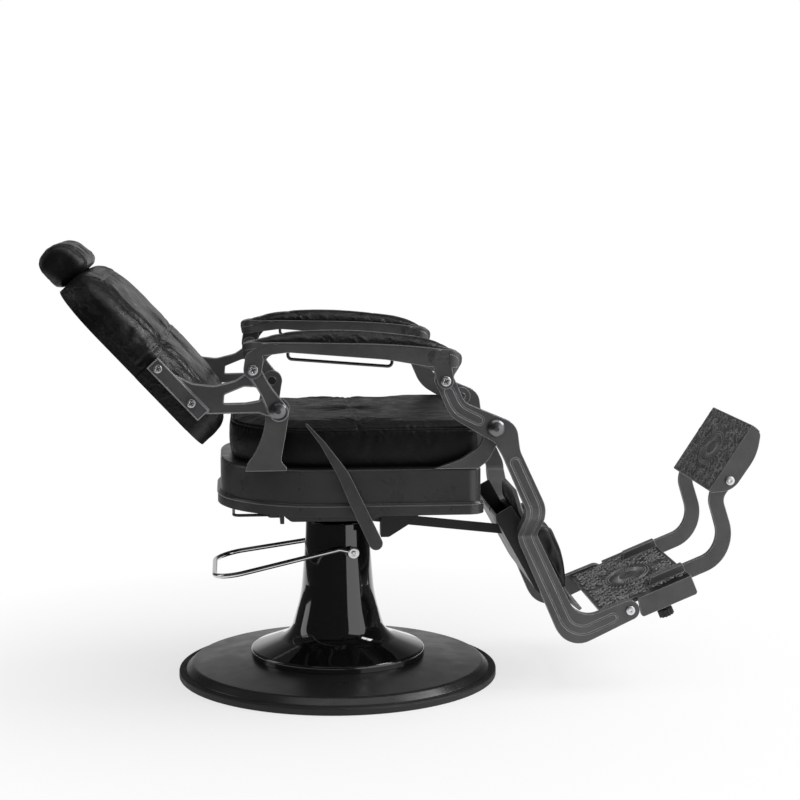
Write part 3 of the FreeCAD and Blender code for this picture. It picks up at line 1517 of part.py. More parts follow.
os.makedirs("parts", exist_ok=True)
for name, shape in build().items():
    shape.exportStep("parts/" + name + ".step")
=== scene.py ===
import json
import math

import bmesh
import bpy
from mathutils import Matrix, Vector, noise
from mathutils.bvhtree import BVHTree
from mathutils.kdtree import KDTree


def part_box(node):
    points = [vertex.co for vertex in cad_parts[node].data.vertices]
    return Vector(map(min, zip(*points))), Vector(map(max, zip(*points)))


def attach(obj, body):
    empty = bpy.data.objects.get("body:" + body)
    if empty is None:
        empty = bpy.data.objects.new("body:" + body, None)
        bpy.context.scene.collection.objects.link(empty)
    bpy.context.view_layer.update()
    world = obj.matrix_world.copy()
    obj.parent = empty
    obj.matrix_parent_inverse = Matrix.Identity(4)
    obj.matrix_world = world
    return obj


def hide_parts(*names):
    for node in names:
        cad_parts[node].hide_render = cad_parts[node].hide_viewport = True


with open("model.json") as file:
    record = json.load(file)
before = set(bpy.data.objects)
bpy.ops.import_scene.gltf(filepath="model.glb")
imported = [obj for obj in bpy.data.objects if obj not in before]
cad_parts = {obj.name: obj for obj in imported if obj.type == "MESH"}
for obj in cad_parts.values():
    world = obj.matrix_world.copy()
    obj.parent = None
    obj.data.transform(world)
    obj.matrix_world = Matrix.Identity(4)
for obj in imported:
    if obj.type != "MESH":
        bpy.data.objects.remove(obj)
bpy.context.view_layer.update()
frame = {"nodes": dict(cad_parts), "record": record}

MM = 0.001
forward = Vector((1, 0, 0))
leftward = Vector((0, 1, 0))

# View, in metres and degrees
camera_place = (-0.2093, -3.7226, 1.0001)
camera_pitch = 6.69
camera_yaw = 5.184
camera_lens = 83.25
floor_reach = 1.6
floor_drop = 0.0005

# Tilted planes in the side view: origin (x, z) in millimetres, angle of their length and side of their face
back_plane = (-261.0, 500.0, 133.0, -1)
calf_plane = (348.0, 262.0, -61.0, 1)
plate_plane = (570.0, 159.0, 22.4, 1)
pad_plane = (775.3, 410.7, 57.0, 1)

# Seat cover, in millimetres
seat_seam_x = 28.0
seat_seam_half = 238
seat_seam_depth = 1.0
seat_stitch_half = 226
seat_edge_seam = 533.0
seat_centre_x = 10.0
seat_glued_below = 468.0
seat_seam_hold = 3.0
seat_top_blend = (505.0, 545.0)
seat_belly = 3.0
seat_belly_height = 500.0
seat_belly_spread = 26.0
seat_above = 700.0
seat_tuft_y = 214.0
seat_tuft_reach = 120.0
seat_dimple = (216, 240)

# Back cover, in millimetres
back_seam_u = 205.0
back_seam_half = 252
back_seam_depth = 1.0
back_stitch_half = 236
back_rear_seam = 11.0
back_glued_below = 14.0
back_seam_hold = 4.0
back_front_above = 50.0
back_above = 200.0
back_aside = 400.0
back_flank = (22, 72)
back_middle = 206.0
back_half_length = 200.0
back_half_width = 262.0
back_crown = 5.0
back_wrap_side = 4.4
back_wrap_rear = 20.0
back_side_blend = (20.0, 42.0)
back_rear_blend = (18.0, 34.0)
back_front_blend = (40.0, 74.0)
panel_middle = 208.0
panel_half_length = 158.0
panel_half_width = 220.0
panel_round = 62.0
back_side_limit = 264.5

# Headrest and calf pad, in millimetres and shares
head_root = (436.0, 4.0)
head_middle = (440.0, 31.0)
head_end_seam = 106.0
head_glued_below = 415.0
head_seam_hold = 2.5
head_narrowing = 0.04
head_narrow_blend = (90.0, 132.0)
head_thickening = 0.1
head_lean = 0.16
head_lean_blend = (0.0, 50.0)
calf_middle = (10.0, 56.0)
calf_glued_below = 52.0

# Creases, seams and stitches, in millimetres
crease_pitch = 2.0
crease_lip = 0.35
tuft_reach = 110.0
tuft_depths = (2.4, 2.8, 2.2, 3.0, 2.0, 3.0, 2.2, 2.8, 2.4)
middle_depths = (2.0, 2.4, 1.8, 2.2, 1.8, 2.4, 2.0)
seam_spread = 9.0
pucker_pitch = 13.0
pipe_radius = 1.5
pipe_pitch = 4.0
stitch_pitch = 6.0
stitch_length = 4.0
stitch_radius = 0.55
stitch_gap = 5.5

# Stuffing of the covers
stuffing_pressure = 4.0
stuffing_frames = 20

# Rolled edge of the seat pan, in millimetres
pan_bead_centre_x = 13.0
pan_bead_height = 391.0
pan_bead_radius = 1.6

# Arms in the side view, (forward, up) in millimetres
arm_middle = 280.0
arm_half_width = 24.0
arm_pad_half_width = 27.5
arm_pad_stations = 72
arm_glued_rise = 4.0
arm_lip_radius = 1.3
arm_lip_gap = 0.4
arm_plan_ends = (-192.0, 220.0)
arm_plan_round = 22.0
arm_pad_top = ((-176, 708.0), (-119, 720), (-55, 724.5), (20, 723.5), (105, 715.5), (156, 707.5),
               (186, 697), (199, 689.5))
arm_pad_seat = ((-176, 706.5), (-119, 706), (-23, 704), (57, 702), (137, 696.5), (199, 688.5))
arm_nose = ((150, 694), (175, 693), (198.6, 690.5), (210, 686.5), (217, 681), (220, 674), (219.5, 668),
            (216.5, 661), (210, 657.5), (190, 657.5), (160, 660), (150, 665))
arm_horn = ((-192, 690), (-192, 700), (-189.5, 704), (-184, 706), (-176, 708), (-140, 708), (-100, 707),
            (-100, 703), (-140, 696), (-170, 690))
arm_lug_sides = (286.3, 303.7)
arm_rear_neck = ((-105, 690), (-132, 686.5), (-143, 680.5), (-151, 671), (-156, 658), (-166, 658),
                 (-166, 694), (-105, 696))
arm_front_neck = ((128, 663), (153, 655.4), (168, 648.8), (174.5, 637.5), (176, 630), (188, 632), (201, 632),
                  (203.6, 643.7), (211.7, 655), (218.5, 666), (219, 676), (205, 684), (140, 676))

# Raised rim of the back brackets, in millimetres
bracket_faces = (284.0, 280.0)
bracket_face_play = 0.3
bracket_rim_radius = 1.5
bracket_rim_inset = 1.1
bracket_rim_sink = 0.4
bracket_rim_pitch = 3.0
bracket_rim_shortest = 120.0

# Foot relief, in millimetres; a reach is the rear, the front and the half width of a face
relief_height = 2.0
relief_width = 1.8
relief_sink = 0.3
relief_border = 6.0
relief_margin = 3.0
relief_pitch = 21.0
relief_petals = 36
relief_above = 120.0
relief_closest = 0.4
plate_face = 16.0
plate_reach = (-54, 138, 165)
pad_face = 24.0
pad_reach = (-40, 117, 150)
sleeve_rear = 56.0
sleeve_inner = 114.0
sleeve_outer = 140.0

# Screw heads, in millimetres
screw_turn = 28.0
screw_skirt = 1.5
bracket_screw_lengths = (86.0, 175.0)
bracket_screw_height = 44.0
bracket_screw_reach = 287.0
bracket_screw_size = (7.8, 1.6)
lever_screw_size = (5.6, 1.6)

# Pin heads: body, place in the side view, reach to the side, (radius, rise) in millimetres, cross recess
pin_heads = (
    ("back", (-173.0, 656.0), 307.8, (9.3, 1.8), True),
    ("legrest", (187.0, 632.0), 307.8, (9.3, 1.8), True),
    ("legrest", plate_plane[:2], 189.3, (8.8, 1.6), False),
    ("foot_extension", pad_plane[:2], 154.3, (8.8, 1.6), False),
)

# Ribs of the base's rubber ring, (radius, height) in millimetres
rim_ribs = ((323.6, 9.0), (321.0, 12.6), (316.5, 14.6))
rim_rib_radius = 1.1


# Tilted planes, soft steps and circles
def plane_axes(plane):
    x, z, angle, side = plane
    along = Vector((math.cos(math.radians(angle)), 0, math.sin(math.radians(angle))))
    normal = Vector((-along.z, 0, along.x)) * side
    return Vector((x * MM, 0, z * MM)), along, normal


def facing_of(plane):
    return plane_axes(plane)[2]


def on_plane(plane, along_mm, y_mm, height_mm):
    origin, along, normal = plane_axes(plane)
    return origin + along * along_mm * MM + normal * height_mm * MM + Vector((0, y_mm * MM, 0))


def read_plane(plane, point):
    """Length, side and height of a point in a plane, in millimetres."""
    origin, along, normal = plane_axes(plane)
    offset = point - origin
    return offset.dot(along) / MM, point.y / MM, offset.dot(normal) / MM


def smooth_step(value, low, high):
    t = min(max((value - low) / (high - low), 0.0), 1.0)
    return t * t * (3 - 2 * t)


def bell(value, width):
    return math.exp(-(value / width) ** 2)


def circle(radius, height, count):
    turns = [2 * math.pi * i / count for i in range(count)]
    return [Vector((radius * math.cos(turn), radius * math.sin(turn), height)) for turn in turns]


def both_ways(half, step):
    """Steps from one side to the other."""
    return range(-half, half + 1, step)


# Meshes
def linked(name, data):
    """A new object in the scene."""
    made = bpy.data.objects.new(name, data)
    bpy.context.scene.collection.objects.link(made)
    return made


def new_piece(name, verts, faces):
    mesh = bpy.data.meshes.new(name)
    mesh.from_pydata(verts, [], faces)
    mesh.validate()
    mesh.shade_smooth()
    return linked(name, mesh)


def band(low, high, count):
    """Faces between two closed rings of points."""
    return [(low + k, low + (k + 1) % count, high + (k + 1) % count, high + k) for k in range(count)]


def baked(made):
    """The mesh of an object with its modifiers or bevel worked in."""
    graph = bpy.context.evaluated_depsgraph_get()
    return bpy.data.meshes.new_from_object(made.evaluated_get(graph))


def settle(piece):
    """Bakes the modifiers of a piece into its mesh."""
    mesh = baked(piece)
    old = piece.data
    piece.modifiers.clear()
    piece.data = mesh
    bpy.data.meshes.remove(old)
    mesh.shade_smooth()


def mend(piece):
    """Welds points that meet and turns the faces outward."""
    work = bmesh.new()
    work.from_mesh(piece.data)
    bmesh.ops.remove_doubles(work, verts=work.verts, dist=1e-5)
    bmesh.ops.recalc_face_normals(work, faces=work.faces)
    work.to_mesh(piece.data)
    work.free()


def soft_copy(node, name, voxel_mm):
    """An evenly meshed copy of a plain soft solid, to be shaped and stuffed."""
    mesh = frame["nodes"][node].data.copy()
    mesh.materials.clear()
    piece = linked(name, mesh)
    evened(piece, voxel_mm)
    return piece


def evened(piece, voxel_mm):
    mend(piece)
    remesh = piece.modifiers.new("even", "REMESH")
    remesh.mode = "VOXEL"
    remesh.voxel_size = voxel_mm * MM
    settle(piece)


def relax(piece, rounds):
    work = bmesh.new()
    work.from_mesh(piece.data)
    axes = {"use_axis_x": True, "use_axis_y": True, "use_axis_z": True}
    for i in range(rounds):
        bmesh.ops.smooth_vert(work, verts=work.verts, factor=0.5, **axes)
    work.to_mesh(piece.data)
    work.free()


def reshape(piece, rule):
    """Moves each vertex to rule(place, normal)."""
    normals = [v.normal.copy() for v in piece.data.vertices]
    for vertex, normal in zip(piece.data.vertices, normals):
        vertex.co = rule(vertex.co, normal)
    piece.data.update()


def shrink(piece, amount_mm):
    reshape(piece, lambda place, normal: place - normal * amount_mm * MM)


def stuff(piece, held, cap_mm, slack):
    """Blows a cover up around its filling as cloth; held(place) says where it is sewn or glued down."""
    start = [v.co.copy() for v in piece.data.vertices]
    group = piece.vertex_groups.new(name="held")
    group.add([i for i, place in enumerate(start) if held(place)], 1.0, "REPLACE")
    cloth = piece.modifiers.new("cover", "CLOTH")
    cover = cloth.settings
    cover.quality = 6
    cover.mass = 0.3
    cover.tension_stiffness = 18
    cover.compression_stiffness = 18
    cover.shear_stiffness = 8
    cover.bending_stiffness = 0.6
    cover.use_pressure = True
    cover.uniform_pressure_force = stuffing_pressure
    cover.shrink_min = -slack
    cover.vertex_group_mass = "held"
    cover.effector_weights.gravity = 0
    cloth.point_cache.frame_start = 1
    cloth.point_cache.frame_end = stuffing_frames
    for step in range(1, stuffing_frames + 1):
        bpy.context.scene.frame_set(step)
    settle(piece)
    for vertex, place in zip(piece.data.vertices, start):
        move = vertex.co - place
        if move.length > cap_mm * MM:
            vertex.co = place + move.normalized() * cap_mm * MM
    piece.vertex_groups.clear()
    bpy.context.scene.frame_set(1)
    relax(piece, 1)


def refine(piece):
    piece.modifiers.new("fine", "SUBSURF").levels = 1
    settle(piece)


def crease(piece, lines, width_mm):
    """Sinks a piece along lines of (place, depth in millimetres), with a low lip on both sides."""
    spots = [spot for line in lines for spot in line]
    tree = KDTree(len(spots))
    for i, spot in enumerate(spots):
        tree.insert(spot[0], i)
    tree.balance()

    def sunk(place, normal):
        i, gap = tree.find(place)[1:]
        reach = gap / MM / width_mm
        if reach > 4:
            return place
        return place - normal * spots[i][1] * (bell(reach, 1.0) - crease_lip * bell(reach - 2, 0.9)) * MM

    reshape(piece, sunk)


def level_line(points, depth):
    """A crease of one depth along a path; places that were not met are left out."""
    return [(place, depth) for place in points if place]


def faded_line(points, depth):
    """A crease that is deepest at its root and fades out."""
    last = len(points) - 1
    return [(place, depth * (1 - i / last) ** 0.7) for i, place in enumerate(points)]


def fan(root, inward, depths, length, on_top):
    """Creases that spread out from a tuft; on_top(a, b) puts a flat point on the surface."""
    lines = []
    steps = 24
    for i, depth in enumerate(depths):
        turn = math.radians(-84 + 168 * i / (len(depths) - 1))
        reach = length * (0.55 + 0.45 * math.cos(2.3 * i) ** 2)
        bow = 0.16 * reach * math.sin(1.7 * i + 0.6)
        points = []
        for step in range(1, steps + 1):
            t = step / steps
            along = reach * t
            across = bow * math.sin(math.pi * t) * t
            ahead = along * math.cos(turn) - across * math.sin(turn)
            aside = along * math.sin(turn) + across * math.cos(turn)
            hit = on_top(root[0] + aside, root[1] + inward * ahead)
            if hit:
                points.append(hit)
        if len(points) > 3:
            lines.append(faded_line(resampled(points, crease_pitch, False), depth))
    return lines


def surface_of(piece):
    graph = bpy.context.evaluated_depsgraph_get()
    return BVHTree.FromObject(piece, graph)


def tube(name, points, radius_mm):
    """A round bead along a closed path."""
    curve = bpy.data.curves.new(name, "CURVE")
    curve.dimensions = "3D"
    curve.bevel_depth = radius_mm * MM
    curve.bevel_resolution = 3
    line = curve.splines.new("POLY")
    line.points.add(len(points) - 1)
    for spot, place in zip(line.points, points):
        spot.co = (*place, 1)
    line.use_cyclic_u = True
    holder = linked(name, curve)
    mesh = baked(holder)
    bpy.data.objects.remove(holder)
    bpy.data.curves.remove(curve)
    mesh.name = name
    mesh.shade_smooth()
    return linked(name, mesh)


def merged(name, pieces):
    work = bmesh.new()
    for piece in pieces:
        work.from_mesh(piece.data)
        mesh = piece.data
        bpy.data.objects.remove(piece)
        bpy.data.meshes.remove(mesh)
    mesh = bpy.data.meshes.new(name)
    work.to_mesh(mesh)
    work.free()
    mesh.shade_smooth()
    return linked(name, mesh)


def resampled(points, pitch_mm, closed):
    """The same path in even steps of about one pitch."""
    ends = points + [points[0]] if closed else points
    lengths = [0.0]
    for a, b in zip(ends, ends[1:]):
        lengths.append(lengths[-1] + (b - a).length)
    count = max(2, int(round(lengths[-1] / (pitch_mm * MM))))
    result = []
    at = 0
    for i in range(count if closed else count + 1):
        target = lengths[-1] * i / count
        while at < len(ends) - 2 and lengths[at + 1] < target:
            at += 1
        span = lengths[at + 1] - lengths[at]
        result.append(ends[at].lerp(ends[at + 1], (target - lengths[at]) / span if span else 0))
    return result


def stitches(name, points):
    """A row of short threads along a path."""
    spots = resampled(points, stitch_pitch, False)
    sections = ((-0.5, 0.35), (-0.3, 1.0), (0.3, 1.0), (0.5, 0.35))
    sides = 6
    verts, faces = [], []
    for a, b in zip(spots, spots[1:]):
        run = (b - a).normalized()
        middle = (a + b) / 2
        side = run.orthogonal().normalized()
        other = run.cross(side)
        first = len(verts)
        for offset, size in sections:
            centre = middle + run * offset * stitch_length * MM
            for k in range(sides):
                turn = 2 * math.pi * k / sides
                spoke = side * math.cos(turn) + other * math.sin(turn)
                verts.append(centre + spoke * stitch_radius * size * MM)
        last = len(verts) - sides
        for low in range(first, last, sides):
            faces += band(low, low + sides, sides)
        faces.append(tuple(first + k for k in reversed(range(sides))))
        faces.append(tuple(last + k for k in range(sides)))
    return new_piece(name, verts, faces)


# Materials
def new_material(name):
    material = bpy.data.materials.new(name)
    material.use_nodes = True
    return material, material.node_tree, material.node_tree.nodes["Principled BSDF"]


def feed(tree, socket, value):
    """Links a socket to another node's output, or gives it a plain value."""
    if isinstance(value, bpy.types.NodeSocket):
        tree.links.new(value, socket)
    else:
        socket.default_value = value


def add(tree, kind, inputs=None, **settings):
    made = tree.nodes.new("ShaderNode" + kind)
    for key, value in settings.items():
        setattr(made, key, value)
    for key, value in (inputs or {}).items():
        feed(tree, made.inputs[key], value)
    return made


def worked(tree, operation, *values):
    """A sum, product or the like of values."""
    return add(tree, "Math", dict(enumerate(values)), operation=operation).outputs["Value"]


def places(tree):
    return add(tree, "TexCoord").outputs["Object"]


def cloudy(tree, scale, detail=4.0, roughness=0.55, stretch=None):
    """Noise of a given number of waves to the metre."""
    vector = places(tree)
    if stretch:
        vector = add(tree, "Mapping", {"Vector": vector, "Scale": stretch}).outputs["Vector"]
    inputs = {"Vector": vector, "Scale": scale, "Detail": detail, "Roughness": roughness}
    return add(tree, "TexNoise", inputs).outputs["Fac"]


def ranged(tree, value, low, high, start=0.3, end=0.7):
    inputs = {"Value": value, "From Min": start, "From Max": end, "To Min": low, "To Max": high}
    return add(tree, "MapRange", inputs).outputs["Result"]


def blended(tree, factor, first, second):
    made = add(tree, "Mix", {"Factor": factor}, data_type="RGBA")
    for name, value in (("A", first), ("B", second)):
        socket = [s for s in made.inputs if s.name == name and s.type == "RGBA"][0]
        feed(tree, socket, value)
    return [s for s in made.outputs if s.type == "RGBA"][0]


def bumped(tree, height, distance_mm, strength=1.0, under=None):
    inputs = {"Height": height, "Distance": distance_mm * MM, "Strength": strength}
    if under:
        inputs["Normal"] = under
    return add(tree, "Bump", inputs).outputs["Normal"]


def soft_edge(tree, radius_mm):
    return add(tree, "Bevel", {"Radius": radius_mm * MM}, samples=6).outputs["Normal"]


def edge_wear_and_highlight(tree, edge_normal):
    """1 on sharp edges, 0 on flat ground; it paints edges lighter, partly as wear and partly as painted
    highlight.
    """
    flat = add(tree, "NewGeometry").outputs["Normal"]
    dot = add(tree, "VectorMath", {0: edge_normal, 1: flat}, operation="DOT_PRODUCT").outputs["Value"]
    return ranged(tree, dot, 1.0, 0.0, start=0.82, end=0.995)


def grey(value):
    return (value, value, value * 1.03, 1)


def mottled(tree, cloud, tone, low, high):
    """A grey that wanders between two shares of a tone."""
    return blended(tree, ranged(tree, cloud, 0, 1), grey(tone * low), grey(tone * high))


def connect(tree, shader, **inputs):
    for name, value in inputs.items():
        feed(tree, shader.inputs[name.replace("_", " ")], value)


def enamel(name, tone, rough, edge_mm, peel_mm, coat=0.0):
    """Sprayed enamel: a faint orange peel, uneven gloss and edges painted lighter, partly as wear and partly
    as painted highlight.
    """
    material, tree, shader = new_material(name)
    edge = soft_edge(tree, edge_mm)
    cloud = cloudy(tree, 7.0)
    colour = mottled(tree, cloud, tone, 0.85, 1.15)
    # Edges are painted lighter: partly wear, partly a painted highlight along the rounded edges.
    colour = blended(tree, edge_wear_and_highlight(tree, edge), colour, grey(tone * 2.2))
    peel = bumped(tree, cloudy(tree, 420.0, 2.0), peel_mm, under=edge)
    gloss = ranged(tree, cloudy(tree, 24.0), rough * 0.85, rough * 1.2)
    connect(tree, shader, Base_Color=colour, Roughness=gloss, Normal=peel)
    connect(tree, shader, Coat_Weight=coat, Coat_Roughness=0.05)
    return material


def casting(name, tone, rough=0.4, ground=None):
    """Painted sand casting: fine grain, edges painted lighter as partly worn paint and partly painted
    highlight, and painted shade on the ground of a relief.
    """
    material, tree, shader = new_material(name)
    edge = soft_edge(tree, 2.4)
    cloud = cloudy(tree, 14.0, 6.0)
    colour = mottled(tree, cloud, tone, 0.8, 1.2)
    if ground:
        # The ground of a relief gets a near-black tone: painted shade in the recess between the strokes.
        colour = blended(tree, relief_ground_shade(tree, *ground), colour, grey(tone * 0.12))
    speck = ranged(tree, cloudy(tree, 420.0, 3.0), 0.7, 1.0)
    # Edges are painted lighter, partly as worn paint and partly as painted highlight.
    rubbed_and_highlit = worked(tree, "MULTIPLY", edge_wear_and_highlight(tree, edge), speck)
    colour = blended(tree, rubbed_and_highlit, colour, grey(min(0.6, tone * 7)))
    skin = bumped(tree, cloudy(tree, 900.0, 3.0), 0.14, under=edge)
    skin = bumped(tree, cloudy(tree, 70.0, 4.0), 0.5, under=skin)
    gloss = ranged(tree, cloudy(tree, 90.0), rough - 0.08, rough + 0.1)
    connect(tree, shader, Base_Color=colour, Roughness=gloss, Normal=skin, Metallic=0.2)
    return material


def relief_ground_shade(tree, plane, level_mm):
    """1 on the face of a plane at one level, 0 above and below it; it marks the ground of a relief for
    painted shade.
    """
    origin = plane_axes(plane)[0]
    offset = add(tree, "VectorMath", {0: places(tree), 1: origin}, operation="SUBTRACT").outputs["Vector"]
    inputs = {0: offset, 1: facing_of(plane)}
    height = add(tree, "VectorMath", inputs, operation="DOT_PRODUCT").outputs["Value"]
    gap = worked(tree, "ABSOLUTE", worked(tree, "SUBTRACT", height, level_mm * MM))
    return ranged(tree, gap, 1.0, 0.0, start=0.1 * MM, end=0.7 * MM)


def plating(name, tone, rough):
    """Bright plating with fine polishing lines and a little dulling."""
    material, tree, shader = new_material(name)
    edge = soft_edge(tree, 0.6)
    dull = cloudy(tree, 30.0, 5.0)
    colour = mottled(tree, dull, tone, 0.9, 1.0)
    lines = bumped(tree, cloudy(tree, 300.0, 2.0, stretch=(0.15, 1.0, 1.0)), 0.02, under=edge)
    connect(tree, shader, Base_Color=colour, Metallic=1.0, Normal=lines,
            Roughness=ranged(tree, dull, rough * 0.7, rough * 1.4))
    return material


def leather(name, tone, rough=0.24, level=0.42):
    """Black hide: pebbled grain with painted shade in its hollows, drawn wrinkles and a waxed sheen."""
    material, tree, shader = new_material(name)
    cloud = cloudy(tree, 9.0, 5.0)
    colour = mottled(tree, cloud, tone, 0.7, 1.35)
    vein = add(tree, "TexVoronoi", {"Vector": places(tree), "Scale": 430.0, "Randomness": 1.0},
               feature="DISTANCE_TO_EDGE").outputs["Distance"]
    pebbles = ranged(tree, vein, 0.0, 1.0, start=0.0, end=0.35)
    # The grain's hollows are painted darker: painted shade in the recesses.
    colour = blended(tree, pebbles, grey(tone * 0.45), colour)
    grain = bumped(tree, pebbles, 0.2)
    wave = {"Vector": places(tree), "Scale": 22.0, "Distortion": 9.0, "Detail": 4.0, "Detail Scale": 1.6,
            "Detail Roughness": 0.6}
    drawn = add(tree, "TexWave", wave, bands_direction="DIAGONAL").outputs["Fac"]
    where = ranged(tree, cloudy(tree, 6.0, 3.0), 0.0, 1.0, start=0.42, end=0.62)
    wrinkles = worked(tree, "MULTIPLY", drawn, where)
    folds = bumped(tree, wrinkles, 1.1, 0.6, under=grain)
    crease_map = cloudy(tree, 46.0, 6.0, 0.62, stretch=(1.0, 0.5, 1.6))
    folds = bumped(tree, crease_map, 1.0, 0.4, under=folds)
    gloss = ranged(tree, cloudy(tree, 35.0, 5.0), rough, rough + 0.18)
    connect(tree, shader, Base_Color=colour, Roughness=gloss, Normal=folds, Specular_IOR_Level=level)
    return material


def moulded(name, tone, rough, grain_mm):
    """Rubber or plastic with a fine moulded grain."""
    material, tree, shader = new_material(name)
    edge = soft_edge(tree, 0.8)
    cloud = cloudy(tree, 18.0)
    colour = mottled(tree, cloud, tone, 0.8, 1.25)
    skin = bumped(tree, cloudy(tree, 700.0, 2.0), grain_mm, under=edge)
    gloss = ranged(tree, cloud, rough - 0.05, rough + 0.1)
    connect(tree, shader, Base_Color=colour, Normal=skin, Roughness=gloss)
    return material


def trim_cloth(name, tone):
    """Plain woven cloth that covers the boards."""
    material, tree, shader = new_material(name)
    weave = add(tree, "TexChecker", {"Vector": places(tree), "Scale": 1600.0}).outputs["Fac"]
    slub = cloudy(tree, 120.0, stretch=(1.0, 1.0, 0.2))
    colour = mottled(tree, slub, tone, 0.7, 1.3)
    connect(tree, shader, Base_Color=colour, Roughness=0.85, Normal=bumped(tree, weave, 0.12))
    return material


def thread(name, tone):
    material, tree, shader = new_material(name)
    twist = cloudy(tree, 1500.0, 2.0)
    colour = mottled(tree, twist, tone, 0.7, 1.3)
    connect(tree, shader, Base_Color=colour, Roughness=0.6, Normal=bumped(tree, twist, 0.1))
    return material


looks = {
    "gloss_black": enamel("gloss_enamel", tone=0.006, rough=0.07, edge_mm=1.2, peel_mm=0.004, coat=1.0),
    "satin_black": enamel("satin_enamel", tone=0.02, rough=0.3, edge_mm=1.8, peel_mm=0.02),
    "pan_black": enamel("pan_enamel", tone=0.04, rough=0.3, edge_mm=0.6, peel_mm=0.02),
    "cast_grey": casting("cast_paint", tone=0.08),
    "rubber_black": moulded("rim_rubber", tone=0.012, rough=0.62, grain_mm=0.05),
    "leather_black": leather("hide", tone=0.008),
    "board": trim_cloth("trim_weave", tone=0.012),
    "chrome": plating("bright_plate", tone=0.72, rough=0.12),
    "dark_chrome": plating("dark_plate", tone=0.2, rough=0.36),
    "knob_black": moulded("knob_plastic", tone=0.01, rough=0.45, grain_mm=0.04),
}
seat_look = leather("seat_hide", tone=0.008, rough=0.36, level=0.2)
thread_look = thread("sewing_thread", tone=0.03)
# The pan bead's lighter tone paints part of the highlight along the band's rolled top edge.
pan_bead_highlight_look = enamel("bead_enamel_highlight", tone=0.1, rough=0.18, edge_mm=0.6, peel_mm=0.01)
relief_look = casting("relief_paint", tone=0.12, rough=0.34)
# The bracket rims' light tone paints the highlights along the brackets' edges.
rim_highlight_look = casting("rim_painted_highlight", tone=0.25, rough=0.3)
screw_look = plating("screw_plate", tone=0.75, rough=0.3)
own_looks = {
    "recline_lever": casting("lever_paint", tone=0.045),
    "back_board": leather("board_hide", tone=0.008),
    "footplate": casting("plate_paint", tone=0.08, ground=(plate_plane, plate_face)),
    "foot_pad": casting("pad_paint", tone=0.08, ground=(pad_plane, pad_face)),
    "towel_bar_right": plating("wire_plate", tone=0.1, rough=0.2),
    "towel_bar_left": plating("far_wire_plate", tone=0.1, rough=0.2),
}
# The calf tray is darker than satin black as painted shade on its rear panel; the lock bar and lock box are
# also painted darker.
shade_and_dark_paints = (("calf_tray", "tray", 0.006), ("lock_bar", "bar", 0.005), ("lock_box", "box", 0.005))
for node, paint, tone in shade_and_dark_paints:
    own_looks[node] = enamel(paint + "_enamel", tone, rough=0.4, edge_mm=1.6, peel_mm=0.03)


def dress_frame():
    """Gives each carried-over solid the look of its slot."""
    slots = {part["node"]: part["material_slot"] for part in frame["record"]["subparts"]}
    for node, solid in frame["nodes"].items():
        solid.data.materials.clear()
        solid.data.materials.append(own_looks.get(node) or looks[slots[node]])


def dressed(piece, body, slot, look=None):
    """Gives a finished piece its look, taken from its slot unless a look is given, and its body."""
    piece.data.materials.clear()
    piece.data.materials.append(look or looks[slot])
    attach(piece, body)


# Seams
def pucker(piece, path, rise_mm):
    """Small gathers of the cover on both sides of a seam."""
    tree = KDTree(len(path))
    run = [0.0]
    for i, place in enumerate(path):
        tree.insert(place, i)
        run.append(run[-1] + (path[(i + 1) % len(path)] - place).length / MM)
    tree.balance()

    def gathered(place, normal):
        near, i, gap = tree.find(place)
        gap /= MM
        if gap > 20:
            return place
        wave = math.sin(2 * math.pi * run[i] / pucker_pitch + 1.8 * noise.noise(near * 30))
        strength = 0.5 + 0.5 * noise.noise(near * 9)
        return place + normal * rise_mm * wave * strength * bell(gap - 6, 5) * MM

    reshape(piece, gathered)


def seam_stitches(name, body, surface, start, half, way):
    """Two rows of stitches beside a seam, dropped one way from start(offset, side)."""
    rows = []
    for offset in (-stitch_gap, stitch_gap):
        line = [start(offset, y) for y in both_ways(half, 4)]
        rows.append(stitches("row", dropped(surface, line, way)))
    dressed(merged(name, rows), body, "leather_black", thread_look)


def ring_on(surface, centre, first, second, reach, count, pitch_mm=pipe_pitch):
    """Path where rays from all round towards a centre meet a surface."""
    points = []
    for i in range(count):
        turn = 2 * math.pi * i / count
        out = first * math.cos(turn) + second * math.sin(turn)
        hit = surface.ray_cast(centre + out * reach, -out)[0]
        if hit:
            points.append(hit)
    return resampled(points, pitch_mm, True)


def dropped(surface, points, way):
    """Points moved along one way until they meet a surface."""
    hits = [surface.ray_cast(point, way)[0] for point in points]
    return [hit for hit in hits if hit]


# Upholstery
def seat_form(place, normal):
    """The top is lumpy and drawn in at its seam, the border bellies out."""
    x, y, z = (c / MM for c in place)
    top = smooth_step(z, *seat_top_blend)
    lump = noise.noise(Vector((x * 0.016, y * 0.009, 3.1)))
    pull = seat_seam_depth * bell(x - seat_seam_x, 2 * seam_spread)
    belly = seat_belly * bell(z - seat_belly_height, seat_belly_spread) * (1 - top)
    return place + (Vector((0, 0, (1.6 * lump - pull) * top)) + normal * belly) * MM


def seat_held(place):
    z = place.z / MM
    return z < seat_glued_below or abs(z - seat_edge_seam) < seat_seam_hold


